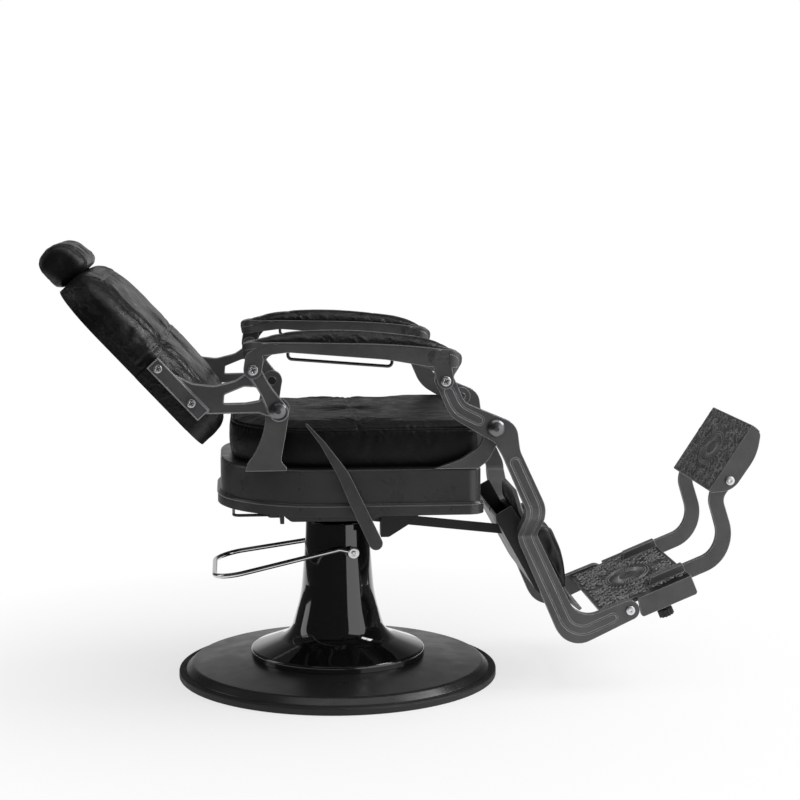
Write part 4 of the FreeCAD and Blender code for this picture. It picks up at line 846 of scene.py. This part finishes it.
def make_seat():
    piece = soft_copy("seat_cushion", "seat_upholstery", voxel_mm=5)
    relax(piece, rounds=2)
    shrink(piece, amount_mm=2.5)
    reshape(piece, seat_form)
    stuff(piece, seat_held, cap_mm=4, slack=0.008)
    relax(piece, rounds=2)
    refine(piece)
    surface = surface_of(piece)
    down = Vector((0, 0, -1))

    def above(x, y):
        return Vector((x * MM, y * MM, seat_above * MM))

    def on_top(x, y):
        return surface.ray_cast(above(x, y), down)[0]

    def edge_ring(pitch_mm):
        centre = Vector((seat_centre_x * MM, 0, seat_edge_seam * MM))
        return ring_on(surface, centre, forward, leftward, reach=0.5, count=500, pitch_mm=pitch_mm)

    seam = [on_top(seat_seam_x, y) for y in both_ways(seat_seam_half, 2)]
    rim = edge_ring(crease_pitch)
    lines = [level_line(seam, depth=1.4), level_line(rim, depth=1.8)]
    for side in (-1, 1):
        dimple = [on_top(seat_seam_x, side * y) for y in range(*seat_dimple)]
        lines.append(level_line(dimple, depth=4.0))
        lines += fan((seat_seam_x, side * seat_tuft_y), -side, tuft_depths, seat_tuft_reach, on_top)
    for side in (1, -1):
        lines += fan((seat_seam_x, 0), side, middle_depths, tuft_reach, on_top)
    crease(piece, lines, width_mm=2.8)
    pucker(piece, rim, rise_mm=0.6)
    dressed(piece, "seat", "leather_black", seat_look)
    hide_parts("seat_cushion")
    surface = surface_of(piece)
    dressed(tube("seat_piping", edge_ring(pipe_pitch), pipe_radius), "seat", "leather_black")

    def beside(offset, y):
        return above(seat_seam_x + offset, y)

    seam_stitches("seat_stitching", "seat", surface, beside, seat_stitch_half, down)


def panel_gap(u, y):
    """Distance from the back's border seam, less than nothing inside it."""
    ahead = abs(u - panel_middle) - (panel_half_length - panel_round)
    aside = abs(y) - (panel_half_width - panel_round)
    return math.hypot(max(ahead, 0), max(aside, 0)) + min(max(ahead, aside), 0) - panel_round


def panel_path():
    """The back's border seam as flat points, evenly round."""
    points = []
    corner_u = panel_half_length - panel_round
    corner_y = panel_half_width - panel_round
    for quarter, (su, sy) in enumerate(((1, 1), (-1, 1), (-1, -1), (1, -1))):
        for step in range(13):
            turn = math.radians(90 * quarter + 7.5 * step)
            points.append((panel_middle + su * corner_u + panel_round * math.cos(turn),
                           sy * corner_y + panel_round * math.sin(turn)))
    return points


def back_form(place, normal):
    """The cover reaches round the board, and its face is crowned."""
    u, y, w = read_plane(back_plane, place)
    facing = facing_of(back_plane)
    rear = 1 - smooth_step(w, *back_side_blend)
    outward = (normal - facing * normal.dot(facing)) * back_wrap_side * rear * MM
    behind = -back_wrap_rear * (1 - smooth_step(w, *back_rear_blend))
    front = smooth_step(w, *back_front_blend)
    length_share = min(1, abs(u - back_middle) / back_half_length)
    width_share = min(1, abs(y) / back_half_width)
    crown = back_crown * (1 - length_share ** 2) * (1 - width_share ** 2)
    pull = back_seam_depth * bell(u - back_seam_u, 2 * seam_spread)
    lump = noise.noise(Vector((u * 0.014, y * 0.01, 7.7)))
    return place + outward + facing * (behind + (crown - pull + 1.8 * lump) * front) * MM


def back_held(place):
    u, y, w = read_plane(back_plane, place)
    return w < back_glued_below or (abs(panel_gap(u, y)) < back_seam_hold and w > back_front_above)


def within_brackets(place, normal):
    limit = back_side_limit * MM
    return Vector((place.x, min(max(place.y, -limit), limit), place.z))


def make_back():
    piece = soft_copy("back_cushion", "back_upholstery", voxel_mm=6)
    relax(piece, rounds=3)
    shrink(piece, amount_mm=2.5)
    reshape(piece, back_form)
    stuff(piece, back_held, cap_mm=6, slack=0.02)
    reshape(piece, within_brackets)
    refine(piece)
    surface = surface_of(piece)
    along, facing = plane_axes(back_plane)[1:]

    def above(u, y):
        return on_plane(back_plane, u, y, back_above)

    def on_face(u, y):
        return surface.ray_cast(above(u, y), -facing)[0]

    def rear_ring(pitch_mm):
        centre = on_plane(back_plane, back_middle, 0, back_rear_seam)
        return ring_on(surface, centre, along, leftward, reach=0.6, count=500, pitch_mm=pitch_mm)

    border = resampled([on_face(u, y) for u, y in panel_path()], crease_pitch, True)
    border = dropped(surface, [spot + facing * 0.1 for spot in border], -facing)
    lines = [level_line(border, depth=2.4), level_line(rear_ring(crease_pitch), depth=1.6)]
    seam = [on_face(back_seam_u, y) for y in both_ways(back_seam_half, 2)]
    lines.append(level_line(seam, depth=1.4))
    for side in (-1, 1):
        flank = [on_plane(back_plane, back_seam_u, side * back_aside, w) for w in range(*back_flank, 2)]
        lines.append(level_line(dropped(surface, flank, Vector((0, -side, 0))), depth=2.0))
        lines += fan((back_seam_u, side * panel_half_width), -side, tuft_depths, tuft_reach, on_face)
        lines += fan((back_seam_u, 0), side, middle_depths, tuft_reach, on_face)
    crease(piece, lines, width_mm=3.0)
    pucker(piece, border, rise_mm=0.7)
    dressed(piece, "back", "leather_black")
    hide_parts("back_cushion")
    surface = surface_of(piece)
    dressed(tube("back_piping", rear_ring(pipe_pitch), pipe_radius), "back", "leather_black")

    def beside(offset, y):
        return above(back_seam_u + offset, y)

    seam_stitches("back_stitching", "back", surface, beside, back_stitch_half, -facing)


def head_form(place, normal):
    """A pillow that narrows towards its ends and leans back at its top."""
    u, y, w = read_plane(back_plane, place)
    middle = on_plane(back_plane, head_root[0], y, head_root[1])
    narrow = head_narrowing * smooth_step(abs(y), *head_narrow_blend)
    lump = noise.noise(Vector((u * 0.02, y * 0.016, 1.3)))
    lean = head_lean * (u - head_middle[0]) * smooth_step(w, *head_lean_blend)
    ahead = head_thickening * max(0, w - head_root[1]) - lean
    moved = facing_of(back_plane) * ahead * MM
    return middle + (place - middle) * (1 - narrow) + moved + normal * 1.2 * lump * MM


def head_held(place):
    u, y = read_plane(back_plane, place)[:2]
    return u < head_glued_below or abs(abs(y) - head_end_seam) < head_seam_hold


def make_headrest():
    piece = soft_copy("headrest_cushion", "headrest_upholstery", voxel_mm=4)
    relax(piece, rounds=1)
    shrink(piece, amount_mm=-2.5)
    reshape(piece, head_form)
    relax(piece, rounds=2)
    stuff(piece, head_held, cap_mm=6, slack=0.02)
    refine(piece)
    along, facing = plane_axes(back_plane)[1:]
    surface = surface_of(piece)

    def end_ring(side, pitch_mm):
        centre = on_plane(back_plane, head_middle[0], side * head_end_seam, head_middle[1])
        return ring_on(surface, centre, along, facing, reach=0.2, count=240, pitch_mm=pitch_mm)

    crease(piece, [level_line(end_ring(side, crease_pitch), depth=1.6) for side in (-1, 1)], width_mm=2.6)
    for side in (-1, 1):
        pucker(piece, end_ring(side, crease_pitch), rise_mm=0.3)
    dressed(piece, "headrest", "leather_black")
    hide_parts("headrest_cushion")
    surface = surface_of(piece)
    rings = [tube("ring", end_ring(side, pipe_pitch), pipe_radius) for side in (-1, 1)]
    dressed(merged("headrest_piping", rings), "headrest", "leather_black")


def calf_held(place):
    return read_plane(calf_plane, place)[2] < calf_glued_below


def make_calf_pad():
    piece = soft_copy("calf_pad", "calf_upholstery", voxel_mm=5)
    relax(piece, rounds=4)
    shrink(piece, amount_mm=3)
    stuff(piece, calf_held, cap_mm=8, slack=0.02)
    refine(piece)
    dressed(piece, "legrest", "leather_black")
    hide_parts("calf_pad")
    surface = surface_of(piece)
    centre = on_plane(calf_plane, calf_middle[0], 0, calf_middle[1])
    rim = ring_on(surface, centre, plane_axes(calf_plane)[1], leftward, reach=0.4, count=200)
    dressed(tube("calf_piping", rim, pipe_radius), "legrest", "leather_black")


# Arm pads and the ends of the arm castings
def along_curve(points, x):
    """Height at x of a smooth curve through points."""
    i = 0
    while i < len(points) - 2 and x > points[i + 1][0]:
        i += 1
    a, b = points[i], points[i + 1]
    before, after = points[max(i - 1, 0)], points[min(i + 2, len(points) - 1)]
    span = b[0] - a[0]
    slope_a = (b[1] - before[1]) / (b[0] - before[0]) * span
    slope_b = (after[1] - a[1]) / (after[0] - a[0]) * span
    t = (x - a[0]) / span
    return ((2 * t ** 3 - 3 * t ** 2 + 1) * a[1] + (t ** 3 - 2 * t ** 2 + t) * slope_a
            + (3 * t ** 2 - 2 * t ** 3) * b[1] + (t ** 3 - t ** 2) * slope_b)


def pad_half_width(share):
    """Half width of the arm pad's plan, from one end, 0, to the other, 1."""
    return arm_pad_half_width * (1 - abs(2 * share - 1) ** 9) ** 0.5


def pad_stations():
    """Shares of the arm pad's length, each with its x, from end to end."""
    low, high = arm_pad_seat[0][0], arm_pad_seat[-1][0]
    shares = [0.002 + 0.996 * i / arm_pad_stations for i in range(arm_pad_stations + 1)]
    return [(share, low + (high - low) * share) for share in shares]


def pad_hull(name, sign):
    """Closed crescent with a flat underside and a round top."""
    steps = 18
    verts, faces = [], []
    for share, x in pad_stations():
        seat = along_curve(arm_pad_seat, x)
        rise = max(1.0, along_curve(arm_pad_top, x) - seat)
        half = pad_half_width(share)
        for k in range(steps + 1):
            turn = math.pi * k / steps
            y = sign * arm_middle + half * math.copysign(abs(math.cos(turn)) ** 0.6, math.cos(turn))
            verts.append(Vector((x, y, seat + rise * math.sin(turn) ** 0.6)) * MM)
    row = steps + 1
    last = arm_pad_stations * row
    for low in range(0, last, row):
        faces += band(low, low + row, row)
    faces.append(tuple(range(row)))
    faces.append(tuple(reversed(range(last, last + row))))
    return new_piece(name, verts, faces)


def pad_lip(sign):
    """The casting's lip all round the underside of the arm pad."""
    lip = []
    for way, stations in ((1, pad_stations()), (-1, reversed(pad_stations()))):
        for share, x in stations:
            y = sign * arm_middle + way * (pad_half_width(share) + arm_lip_gap)
            lip.append(Vector((x, y, along_curve(arm_pad_seat, x) + arm_lip_gap)) * MM)
    return tube("lip", lip, arm_lip_radius)


def pad_held(place):
    return place.z < along_curve(arm_pad_seat, place.x / MM) * MM + arm_glued_rise * MM


def make_arm_pad(side, sign):
    body = "arm_" + side
    piece = pad_hull("arm_pad_" + side + "_cover", sign)
    evened(piece, voxel_mm=3)
    relax(piece, rounds=2)
    stuff(piece, pad_held, cap_mm=3, slack=0.01)
    refine(piece)
    dressed(piece, body, "leather_black")
    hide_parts("arm_pad_" + side)
    pieces = [pad_lip(sign)]
    sides = (arm_middle - arm_half_width, arm_middle + arm_half_width)
    for outline in (arm_nose, arm_horn):
        pieces.append(arm_end(outline, sign, sides))
    for outline in (arm_rear_neck, arm_front_neck):
        pieces.append(arm_end(outline, sign, arm_lug_sides))
    dressed(merged("arm_ends_" + side, pieces), body, "cast_grey")


def arm_end(outline, sign, sides):
    """A rounded part of the arm's casting between two sides."""
    verts = []
    for y in sides:
        verts += [Vector((x, sign * y, z)) * MM for x, z in outline]
    count = len(outline)
    faces = [tuple(range(count)), tuple(reversed(range(count, 2 * count)))]
    faces += band(0, count, count)
    piece = new_piece("end", verts, faces)
    evened(piece, voxel_mm=2)

    def planned(place, normal):
        x = place.x / MM
        inside = min(x - arm_plan_ends[0], arm_plan_ends[1] - x)
        short = min(max(arm_plan_round - inside, 0), arm_plan_round)
        half = arm_half_width - arm_plan_round + math.sqrt(arm_plan_round ** 2 - short ** 2)
        y = place.y / MM - sign * arm_middle
        return Vector((place.x, (sign * arm_middle + y * half / arm_half_width) * MM, place.z))

    reshape(piece, planned)
    relax(piece, rounds=2)
    return piece


# Cast relief
def ridge(verts, faces, path, widths, up):
    """Adds a half-round bead along a path, with a width at each point."""
    steps = 6
    first = len(verts)
    for i, place in enumerate(path):
        run = path[min(i + 1, len(path) - 1)] - path[max(i - 1, 0)]
        side = up.cross(run).normalized()
        for k in range(steps):
            turn = math.pi * k / (steps - 1)
            across = side * math.cos(turn) * widths[i] * MM
            rise = math.sin(turn) * relief_height * min(1, widths[i] / relief_width)
            lift = up * (rise - relief_sink) * MM
            verts.append(place + across + lift)
    for i in range(len(path) - 1):
        for k in range(steps - 1):
            a = first + i * steps + k
            faces.append((a, a + 1, a + steps + 1, a + steps))
    faces.append(tuple(first + k for k in reversed(range(steps))))
    last = first + (len(path) - 1) * steps
    faces.append(tuple(last + k for k in range(steps)))


def volute(size, turns, hand, heading):
    """A spiral that winds in from its tail, as offsets about its eye."""
    points = []
    count = 22
    for i in range(count + 1):
        t = i / count
        reach = size * (1 - t) ** 0.9 + 0.1 * size
        turn = heading + hand * 2 * math.pi * turns * t
        points.append((reach * math.cos(turn), reach * math.sin(turn)))
    return points


def leaf(length, bow, heading):
    """A bowed leaf stroke from its root, as offsets."""
    points = []
    for i in range(9):
        t = i / 8
        along, across = length * t, bow * math.sin(math.pi * t)
        points.append((along * math.cos(heading) - across * math.sin(heading),
                       along * math.sin(heading) + across * math.cos(heading)))
    return points


def ellipse(half_length, half_width):
    turns = [math.pi * i / 32 for i in range(65)]
    return [(half_length * math.cos(turn), half_width * math.sin(turn)) for turn in turns]


def rosette_strokes(middle, oval):
    """Two rings with petals inside and outside them."""
    strokes = []
    for grow in (1.0, 1.14):
        ring = ellipse(oval[0] * grow, oval[1] * grow)
        strokes.append((placed(ring, (middle, 0)), 1.5, False))
    for i in range(relief_petals):
        turn = 2 * math.pi * (i + 0.5) / relief_petals
        heading = math.atan2(oval[1] * math.sin(turn), oval[0] * math.cos(turn))
        for start, length, bow in ((0.42, 0.52, 2.0), (1.2, 0.3, 3.0)):
            root = (middle + oval[0] * start * math.cos(turn), oval[1] * start * math.sin(turn))
            reach = length * math.hypot(oval[0] * math.cos(turn), oval[1] * math.sin(turn))
            strokes.append((placed(leaf(reach, bow, heading), root), 1.9, True))
    return strokes


def relief_strokes(rear, front, half_width):
    """Strokes of a symmetric scroll design: (points, widest half width, tapered)."""
    middle = (rear + front) / 2
    oval = (0.42 * (front - rear) / 2, 0.34 * half_width)
    strokes = rosette_strokes(middle, oval)
    for eye, kind in scroll_places(rear, front, half_width):
        if ((eye[0] - middle) / oval[0]) ** 2 + (eye[1] / oval[1]) ** 2 < 2.3:
            continue
        side = 1 if eye[1] > 0 else -1
        hand = side * (1 if kind % 2 else -1)
        heading = side * math.pi * (0.2 + 0.61 * kind)
        size = relief_pitch * (0.52 + 0.08 * math.sin(2.1 * kind))
        strokes.append((placed(volute(size, 1.6, hand, heading), eye), relief_width, True))
        tip = (eye[0] + size * math.cos(heading), eye[1] + size * math.sin(heading))
        for turn in (0.5, 1.3, 2.1):
            tuft = leaf(0.62 * relief_pitch, 2.5 * hand, heading - hand * turn)
            strokes.append((placed(tuft, tip), 2.3, True))
    return strokes


def placed(points, eye):
    return [(eye[0] + a, eye[1] + b) for a, b in points]


def scroll_places(rear, front, half_width):
    """Eyes of the scrolls in offset rows, mirrored about the middle line."""
    rows = int((front - rear - 2 * relief_border) / (0.87 * relief_pitch))
    step = (front - rear - 2 * relief_border) / rows
    columns = int((half_width - relief_border) / relief_pitch)
    across = (half_width - relief_border) / columns
    eyes = []
    for row in range(rows):
        for column in range(columns):
            share = 0.25 if row % 2 else 0.75
            for side in (-1, 1):
                eye = (rear + relief_border + step * (row + 0.5), side * across * (column + share))
                eyes.append((eye, 3 * row + 5 * column + row * column))
    return eyes


def taper(share):
    """Thin at both ends, full in the middle."""
    return 0.3 + 0.7 * max(0.0, math.sin(math.pi * share)) ** 0.6


def make_relief(name, node, body, plane, reach, bare):
    """Lays the strokes on the face of a casting; bare(a, b) says where it stays plain."""
    surface = surface_of(frame["nodes"][node])
    up = facing_of(plane)
    rear, front, half_width = reach
    low, high, side = rear + relief_margin, front - relief_margin, half_width - relief_margin
    verts, faces = [], []
    for points, width, tapered in relief_strokes(rear, front, half_width):
        runs = [[]]
        for a, b in points:
            hit = None
            if low < a < high and abs(b) <= side and not bare(a, b):
                hit = surface.ray_cast(on_plane(plane, a, b, relief_above), -up)[0]
            if hit is None:
                runs.append([])
            elif not runs[-1] or (hit - runs[-1][-1]).length > relief_closest * MM:
                runs[-1].append(hit)
        for run in runs:
            if len(run) > 2:
                count = len(run) - 1
                widths = [width * (taper(i / count) if tapered else 1) for i in range(count + 1)]
                ridge(verts, faces, run, widths, up)
    dressed(new_piece(name, verts, faces), body, "cast_grey", relief_look)


def on_sleeve(a, b):
    return a > sleeve_rear and sleeve_inner < abs(b) < sleeve_outer


def nowhere(a, b):
    return False


# Screw heads, beads, rims and ribs
def screw_head(place, size, cross):
    """A domed head that faces the chair's side, with a cross recess or a dimple."""
    radius_mm, rise_mm = size
    rings, spokes = 16, 64
    out = -1 if place[1] < 0 else 1
    verts = [Vector((0, 0, 0))]
    for ring in range(1, rings + 1):
        verts += [Vector((spot.x, 0, spot.y)) * ring / rings for spot in circle(1, 0, spokes)]
    for vert in verts:
        reach = vert.length
        height = rise_mm * math.sqrt(max(0, 1 - (0.9 * reach) ** 2))
        slot = min(abs(vert.x), abs(vert.z))
        if cross:
            height -= 2.2 * (1 - smooth_step(slot, 0.12, 0.2)) * (1 - smooth_step(reach, 0.5, 0.68))
        else:
            height -= 0.8 * bell(reach, 0.28)
        vert.y = out * height
    verts += [Vector((vert.x, -out * screw_skirt, vert.z)) for vert in verts[-spokes:]]
    faces = [(0, 1 + k, 1 + (k + 1) % spokes) for k in range(spokes)]
    for low in range(1, 1 + rings * spokes, spokes):
        for k in range(spokes):
            a, b = low + k, low + (k + 1) % spokes
            faces.append((a, a + spokes, b + spokes, b))
    faces.append(tuple(range(len(verts) - spokes, len(verts))))
    centre = Vector(place) * MM
    tilt = math.radians(screw_turn)
    scaled = []
    for vert in verts:
        x = vert.x * math.cos(tilt) - vert.z * math.sin(tilt)
        z = vert.x * math.sin(tilt) + vert.z * math.cos(tilt)
        scaled.append(centre + Vector((x * radius_mm, vert.y, z * radius_mm)) * MM)
    piece = new_piece("head", scaled, faces)
    mend(piece)
    return piece


def make_screws():
    heads = {"back": [], "legrest": [], "foot_extension": [], "base": []}
    for side in (-1, 1):
        for u in bracket_screw_lengths:
            spot = on_plane(back_plane, u, 0, bracket_screw_height) / MM
            place = (spot.x, side * bracket_screw_reach, spot.z)
            heads["back"].append(screw_head(place, bracket_screw_size, True))
        for body, (x, z), reach, size, cross in pin_heads:
            heads[body].append(screw_head((x, side * reach, z), size, cross))
    low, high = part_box("lever_pins")
    for y in (low[1], high[1]):
        place = ((low[0] + high[0]) / 2 / MM, y / MM, (low[2] + high[2]) / 2 / MM)
        heads["base"].append(screw_head(place, lever_screw_size, True))
    for body, pieces in heads.items():
        dressed(merged(body + "_screw_heads", pieces), body, "chrome", screw_look)


def make_pan_bead():
    """The rolled upper edge of the pan's band, in a lighter enamel that paints a highlight along it."""
    surface = surface_of(frame["nodes"]["seat_pan"])
    centre = Vector((pan_bead_centre_x * MM, 0, pan_bead_height * MM))
    rim = ring_on(surface, centre, forward, leftward, reach=0.6, count=500)
    dressed(tube("pan_bead", rim, pan_bead_radius), "seat", "pan_black", pan_bead_highlight_look)


def face_borders(node, sign, level_mm):
    """Closed border lines of the faces that look sideways at one level."""
    solid = frame["nodes"][node]
    form = bmesh.new()
    form.from_mesh(solid.data)
    form.transform(solid.matrix_world)
    bmesh.ops.remove_doubles(form, verts=form.verts, dist=1e-6)
    level = []
    for face in form.faces:
        gap = abs(face.calc_center_median().y * sign - level_mm * MM)
        if face.normal.y * sign > 0.99 and gap < bracket_face_play * MM:
            level.append(face)
    inside = set(level)
    follow = {}
    for face in level:
        for loop in face.loops:
            if not any(other in inside for other in loop.edge.link_faces if other is not face):
                follow[loop.vert] = loop.link_loop_next.vert
    lines = []
    while follow:
        first, here = follow.popitem()
        line = [first.co.copy()]
        while here in follow:
            line.append(here.co.copy())
            here = follow.pop(here)
        if here is first:
            lines.append(line)
    form.free()
    return lines


def inset_path(line, facing):
    """A border line moved inward on its face and a little into it."""
    path = resampled(line, bracket_rim_pitch, True)
    rim = []
    for i, place in enumerate(path):
        run = path[(i + 1) % len(path)] - path[i - 1]
        inward = facing.cross(run).normalized()
        rim.append(place + (inward * bracket_rim_inset - facing * bracket_rim_sink) * MM)
    return rim


def make_bracket_rims():
    for side, sign in (("right", -1), ("left", 1)):
        facing = Vector((0, sign, 0))
        rims = []
        for level in bracket_faces:
            for line in face_borders("back_bracket_" + side, sign, level):
                length = sum((line[i] - line[i - 1]).length for i in range(len(line)))
                if length >= bracket_rim_shortest * MM:
                    rims.append(tube("rim", inset_path(line, facing), bracket_rim_radius))
        dressed(merged("back_bracket_rim_" + side, rims), "back", "cast_grey", rim_highlight_look)


def make_rim_ribs():
    ribs = []
    for radius, height in rim_ribs:
        path = [spot * MM for spot in circle(radius, height, 180)]
        ribs.append(tube("rib", path, rim_rib_radius))
    dressed(merged("rim_ribs", ribs), "base", "rubber_black")


# Studio
def backdrop_rays(tree):
    """Rays of the camera, and rays that gloss and glass send on to the backdrop."""
    rays = add(tree, "LightPath").outputs
    mirrored = worked(tree, "MAXIMUM", rays["Is Glossy Ray"], rays["Is Transmission Ray"])
    return rays["Is Camera Ray"], mirrored


def make_floor():
    """White floor that keeps the object's shadow and fades out to the backdrop."""
    corners = circle(floor_reach, -floor_drop, 64)
    floor = new_piece("floor", corners, [tuple(range(len(corners)))])
    material, tree, shader = new_material("white_floor")
    connect(tree, shader, Base_Color=(0.9, 0.9, 0.9, 1), Roughness=0.7)
    distance = add(tree, "VectorMath", {0: places(tree)}, operation="LENGTH").outputs["Value"]
    far = ranged(tree, distance, 0.72, 1.0, start=0.35, end=1.1)
    eye, mirrored = backdrop_rays(tree)
    share = worked(tree, "MULTIPLY", far, worked(tree, "MAXIMUM", eye, mirrored))
    glow = add(tree, "Emission", {"Strength": 1.0})
    mix = add(tree, "MixShader", {0: share, 1: shader.outputs[0], 2: glow.outputs[0]})
    tree.links.new(mix.outputs[0], tree.nodes["Material Output"].inputs["Surface"])
    floor.data.materials.append(material)


def make_world():
    """White backdrop behind the object, a dark room elsewhere."""
    world = bpy.data.worlds.new("studio")
    bpy.context.scene.world = world
    world.use_nodes = True
    tree = world.node_tree
    way = add(tree, "TexCoord").outputs["Generated"]
    depth = add(tree, "SeparateXYZ", {0: way}).outputs["Y"]
    room = ranged(tree, depth, 0.05, 0.25, start=0.78, end=0.97)
    behind = ranged(tree, depth, 0.0, 0.5, start=0.9, end=0.97)
    eye, mirrored = backdrop_rays(tree)
    seen = worked(tree, "MAXIMUM", eye, worked(tree, "MULTIPLY", mirrored, behind))
    level = add(tree, "Mix", {"Factor": seen, "A": room, "B": 1.0}).outputs["Result"]
    tree.links.new(level, tree.nodes["Background"].inputs["Strength"])
    tree.nodes["Background"].inputs["Color"].default_value = (1, 1, 1, 1)


def add_lamp(name, place, target, size, radiance, mirrored=True):
    """A soft box of a given brightness as the object sees it."""
    lamp = bpy.data.lights.new(name, "AREA")
    lamp.shape = "RECTANGLE"
    lamp.size, lamp.size_y = size
    lamp.energy = radiance * math.pi * size[0] * size[1]
    holder = linked(name, lamp)
    holder.location = place
    holder.rotation_euler = (Vector(target) - Vector(place)).to_track_quat("-Z", "Y").to_euler()
    holder.visible_glossy = mirrored


def make_lights():
    add_lamp("right_box", (2.54, -1.59, 0.7), (0, 0, 0.45), size=(3.8, 3.0), radiance=1.2)
    add_lamp("left_box", (-2.9, 0.5, 1.3), (0, 0, 0.5), size=(1.0, 2.0), radiance=1.2)
    add_lamp("crest_box", (2.3, 0.0, 2.3), (-0.4, 0, 0.7), size=(1.6, 1.6), radiance=8.0)
    add_lamp("top_box", (0.0, -0.3, 2.9), (0, 0, 0.4), size=(2.6, 1.8), radiance=1.3)
    add_lamp("front_fill", (-0.4, -4.4, 1.7), (0, 0, 0.5), size=(4.0, 3.0), radiance=1.2, mirrored=False)


def make_camera():
    data = bpy.data.cameras.new("view")
    data.sensor_width = 36.0
    data.lens = camera_lens
    camera = linked("view", data)
    camera.location = camera_place
    camera.rotation_euler = (math.radians(90 - camera_pitch), 0, math.radians(-camera_yaw))
    bpy.context.scene.camera = camera


dress_frame()
make_seat()
make_back()
make_headrest()
make_calf_pad()
make_arm_pad("right", -1)
make_arm_pad("left", 1)
make_pan_bead()
make_bracket_rims()
make_relief("footplate_relief", "footplate", "footplate", plate_plane, plate_reach, on_sleeve)
make_relief("foot_pad_relief", "foot_pad", "foot_pad", pad_plane, pad_reach, nowhere)
make_screws()
make_rim_ribs()
make_floor()
make_world()
make_lights()
make_camera()
bpy.context.scene.view_settings.view_transform = "Standard"
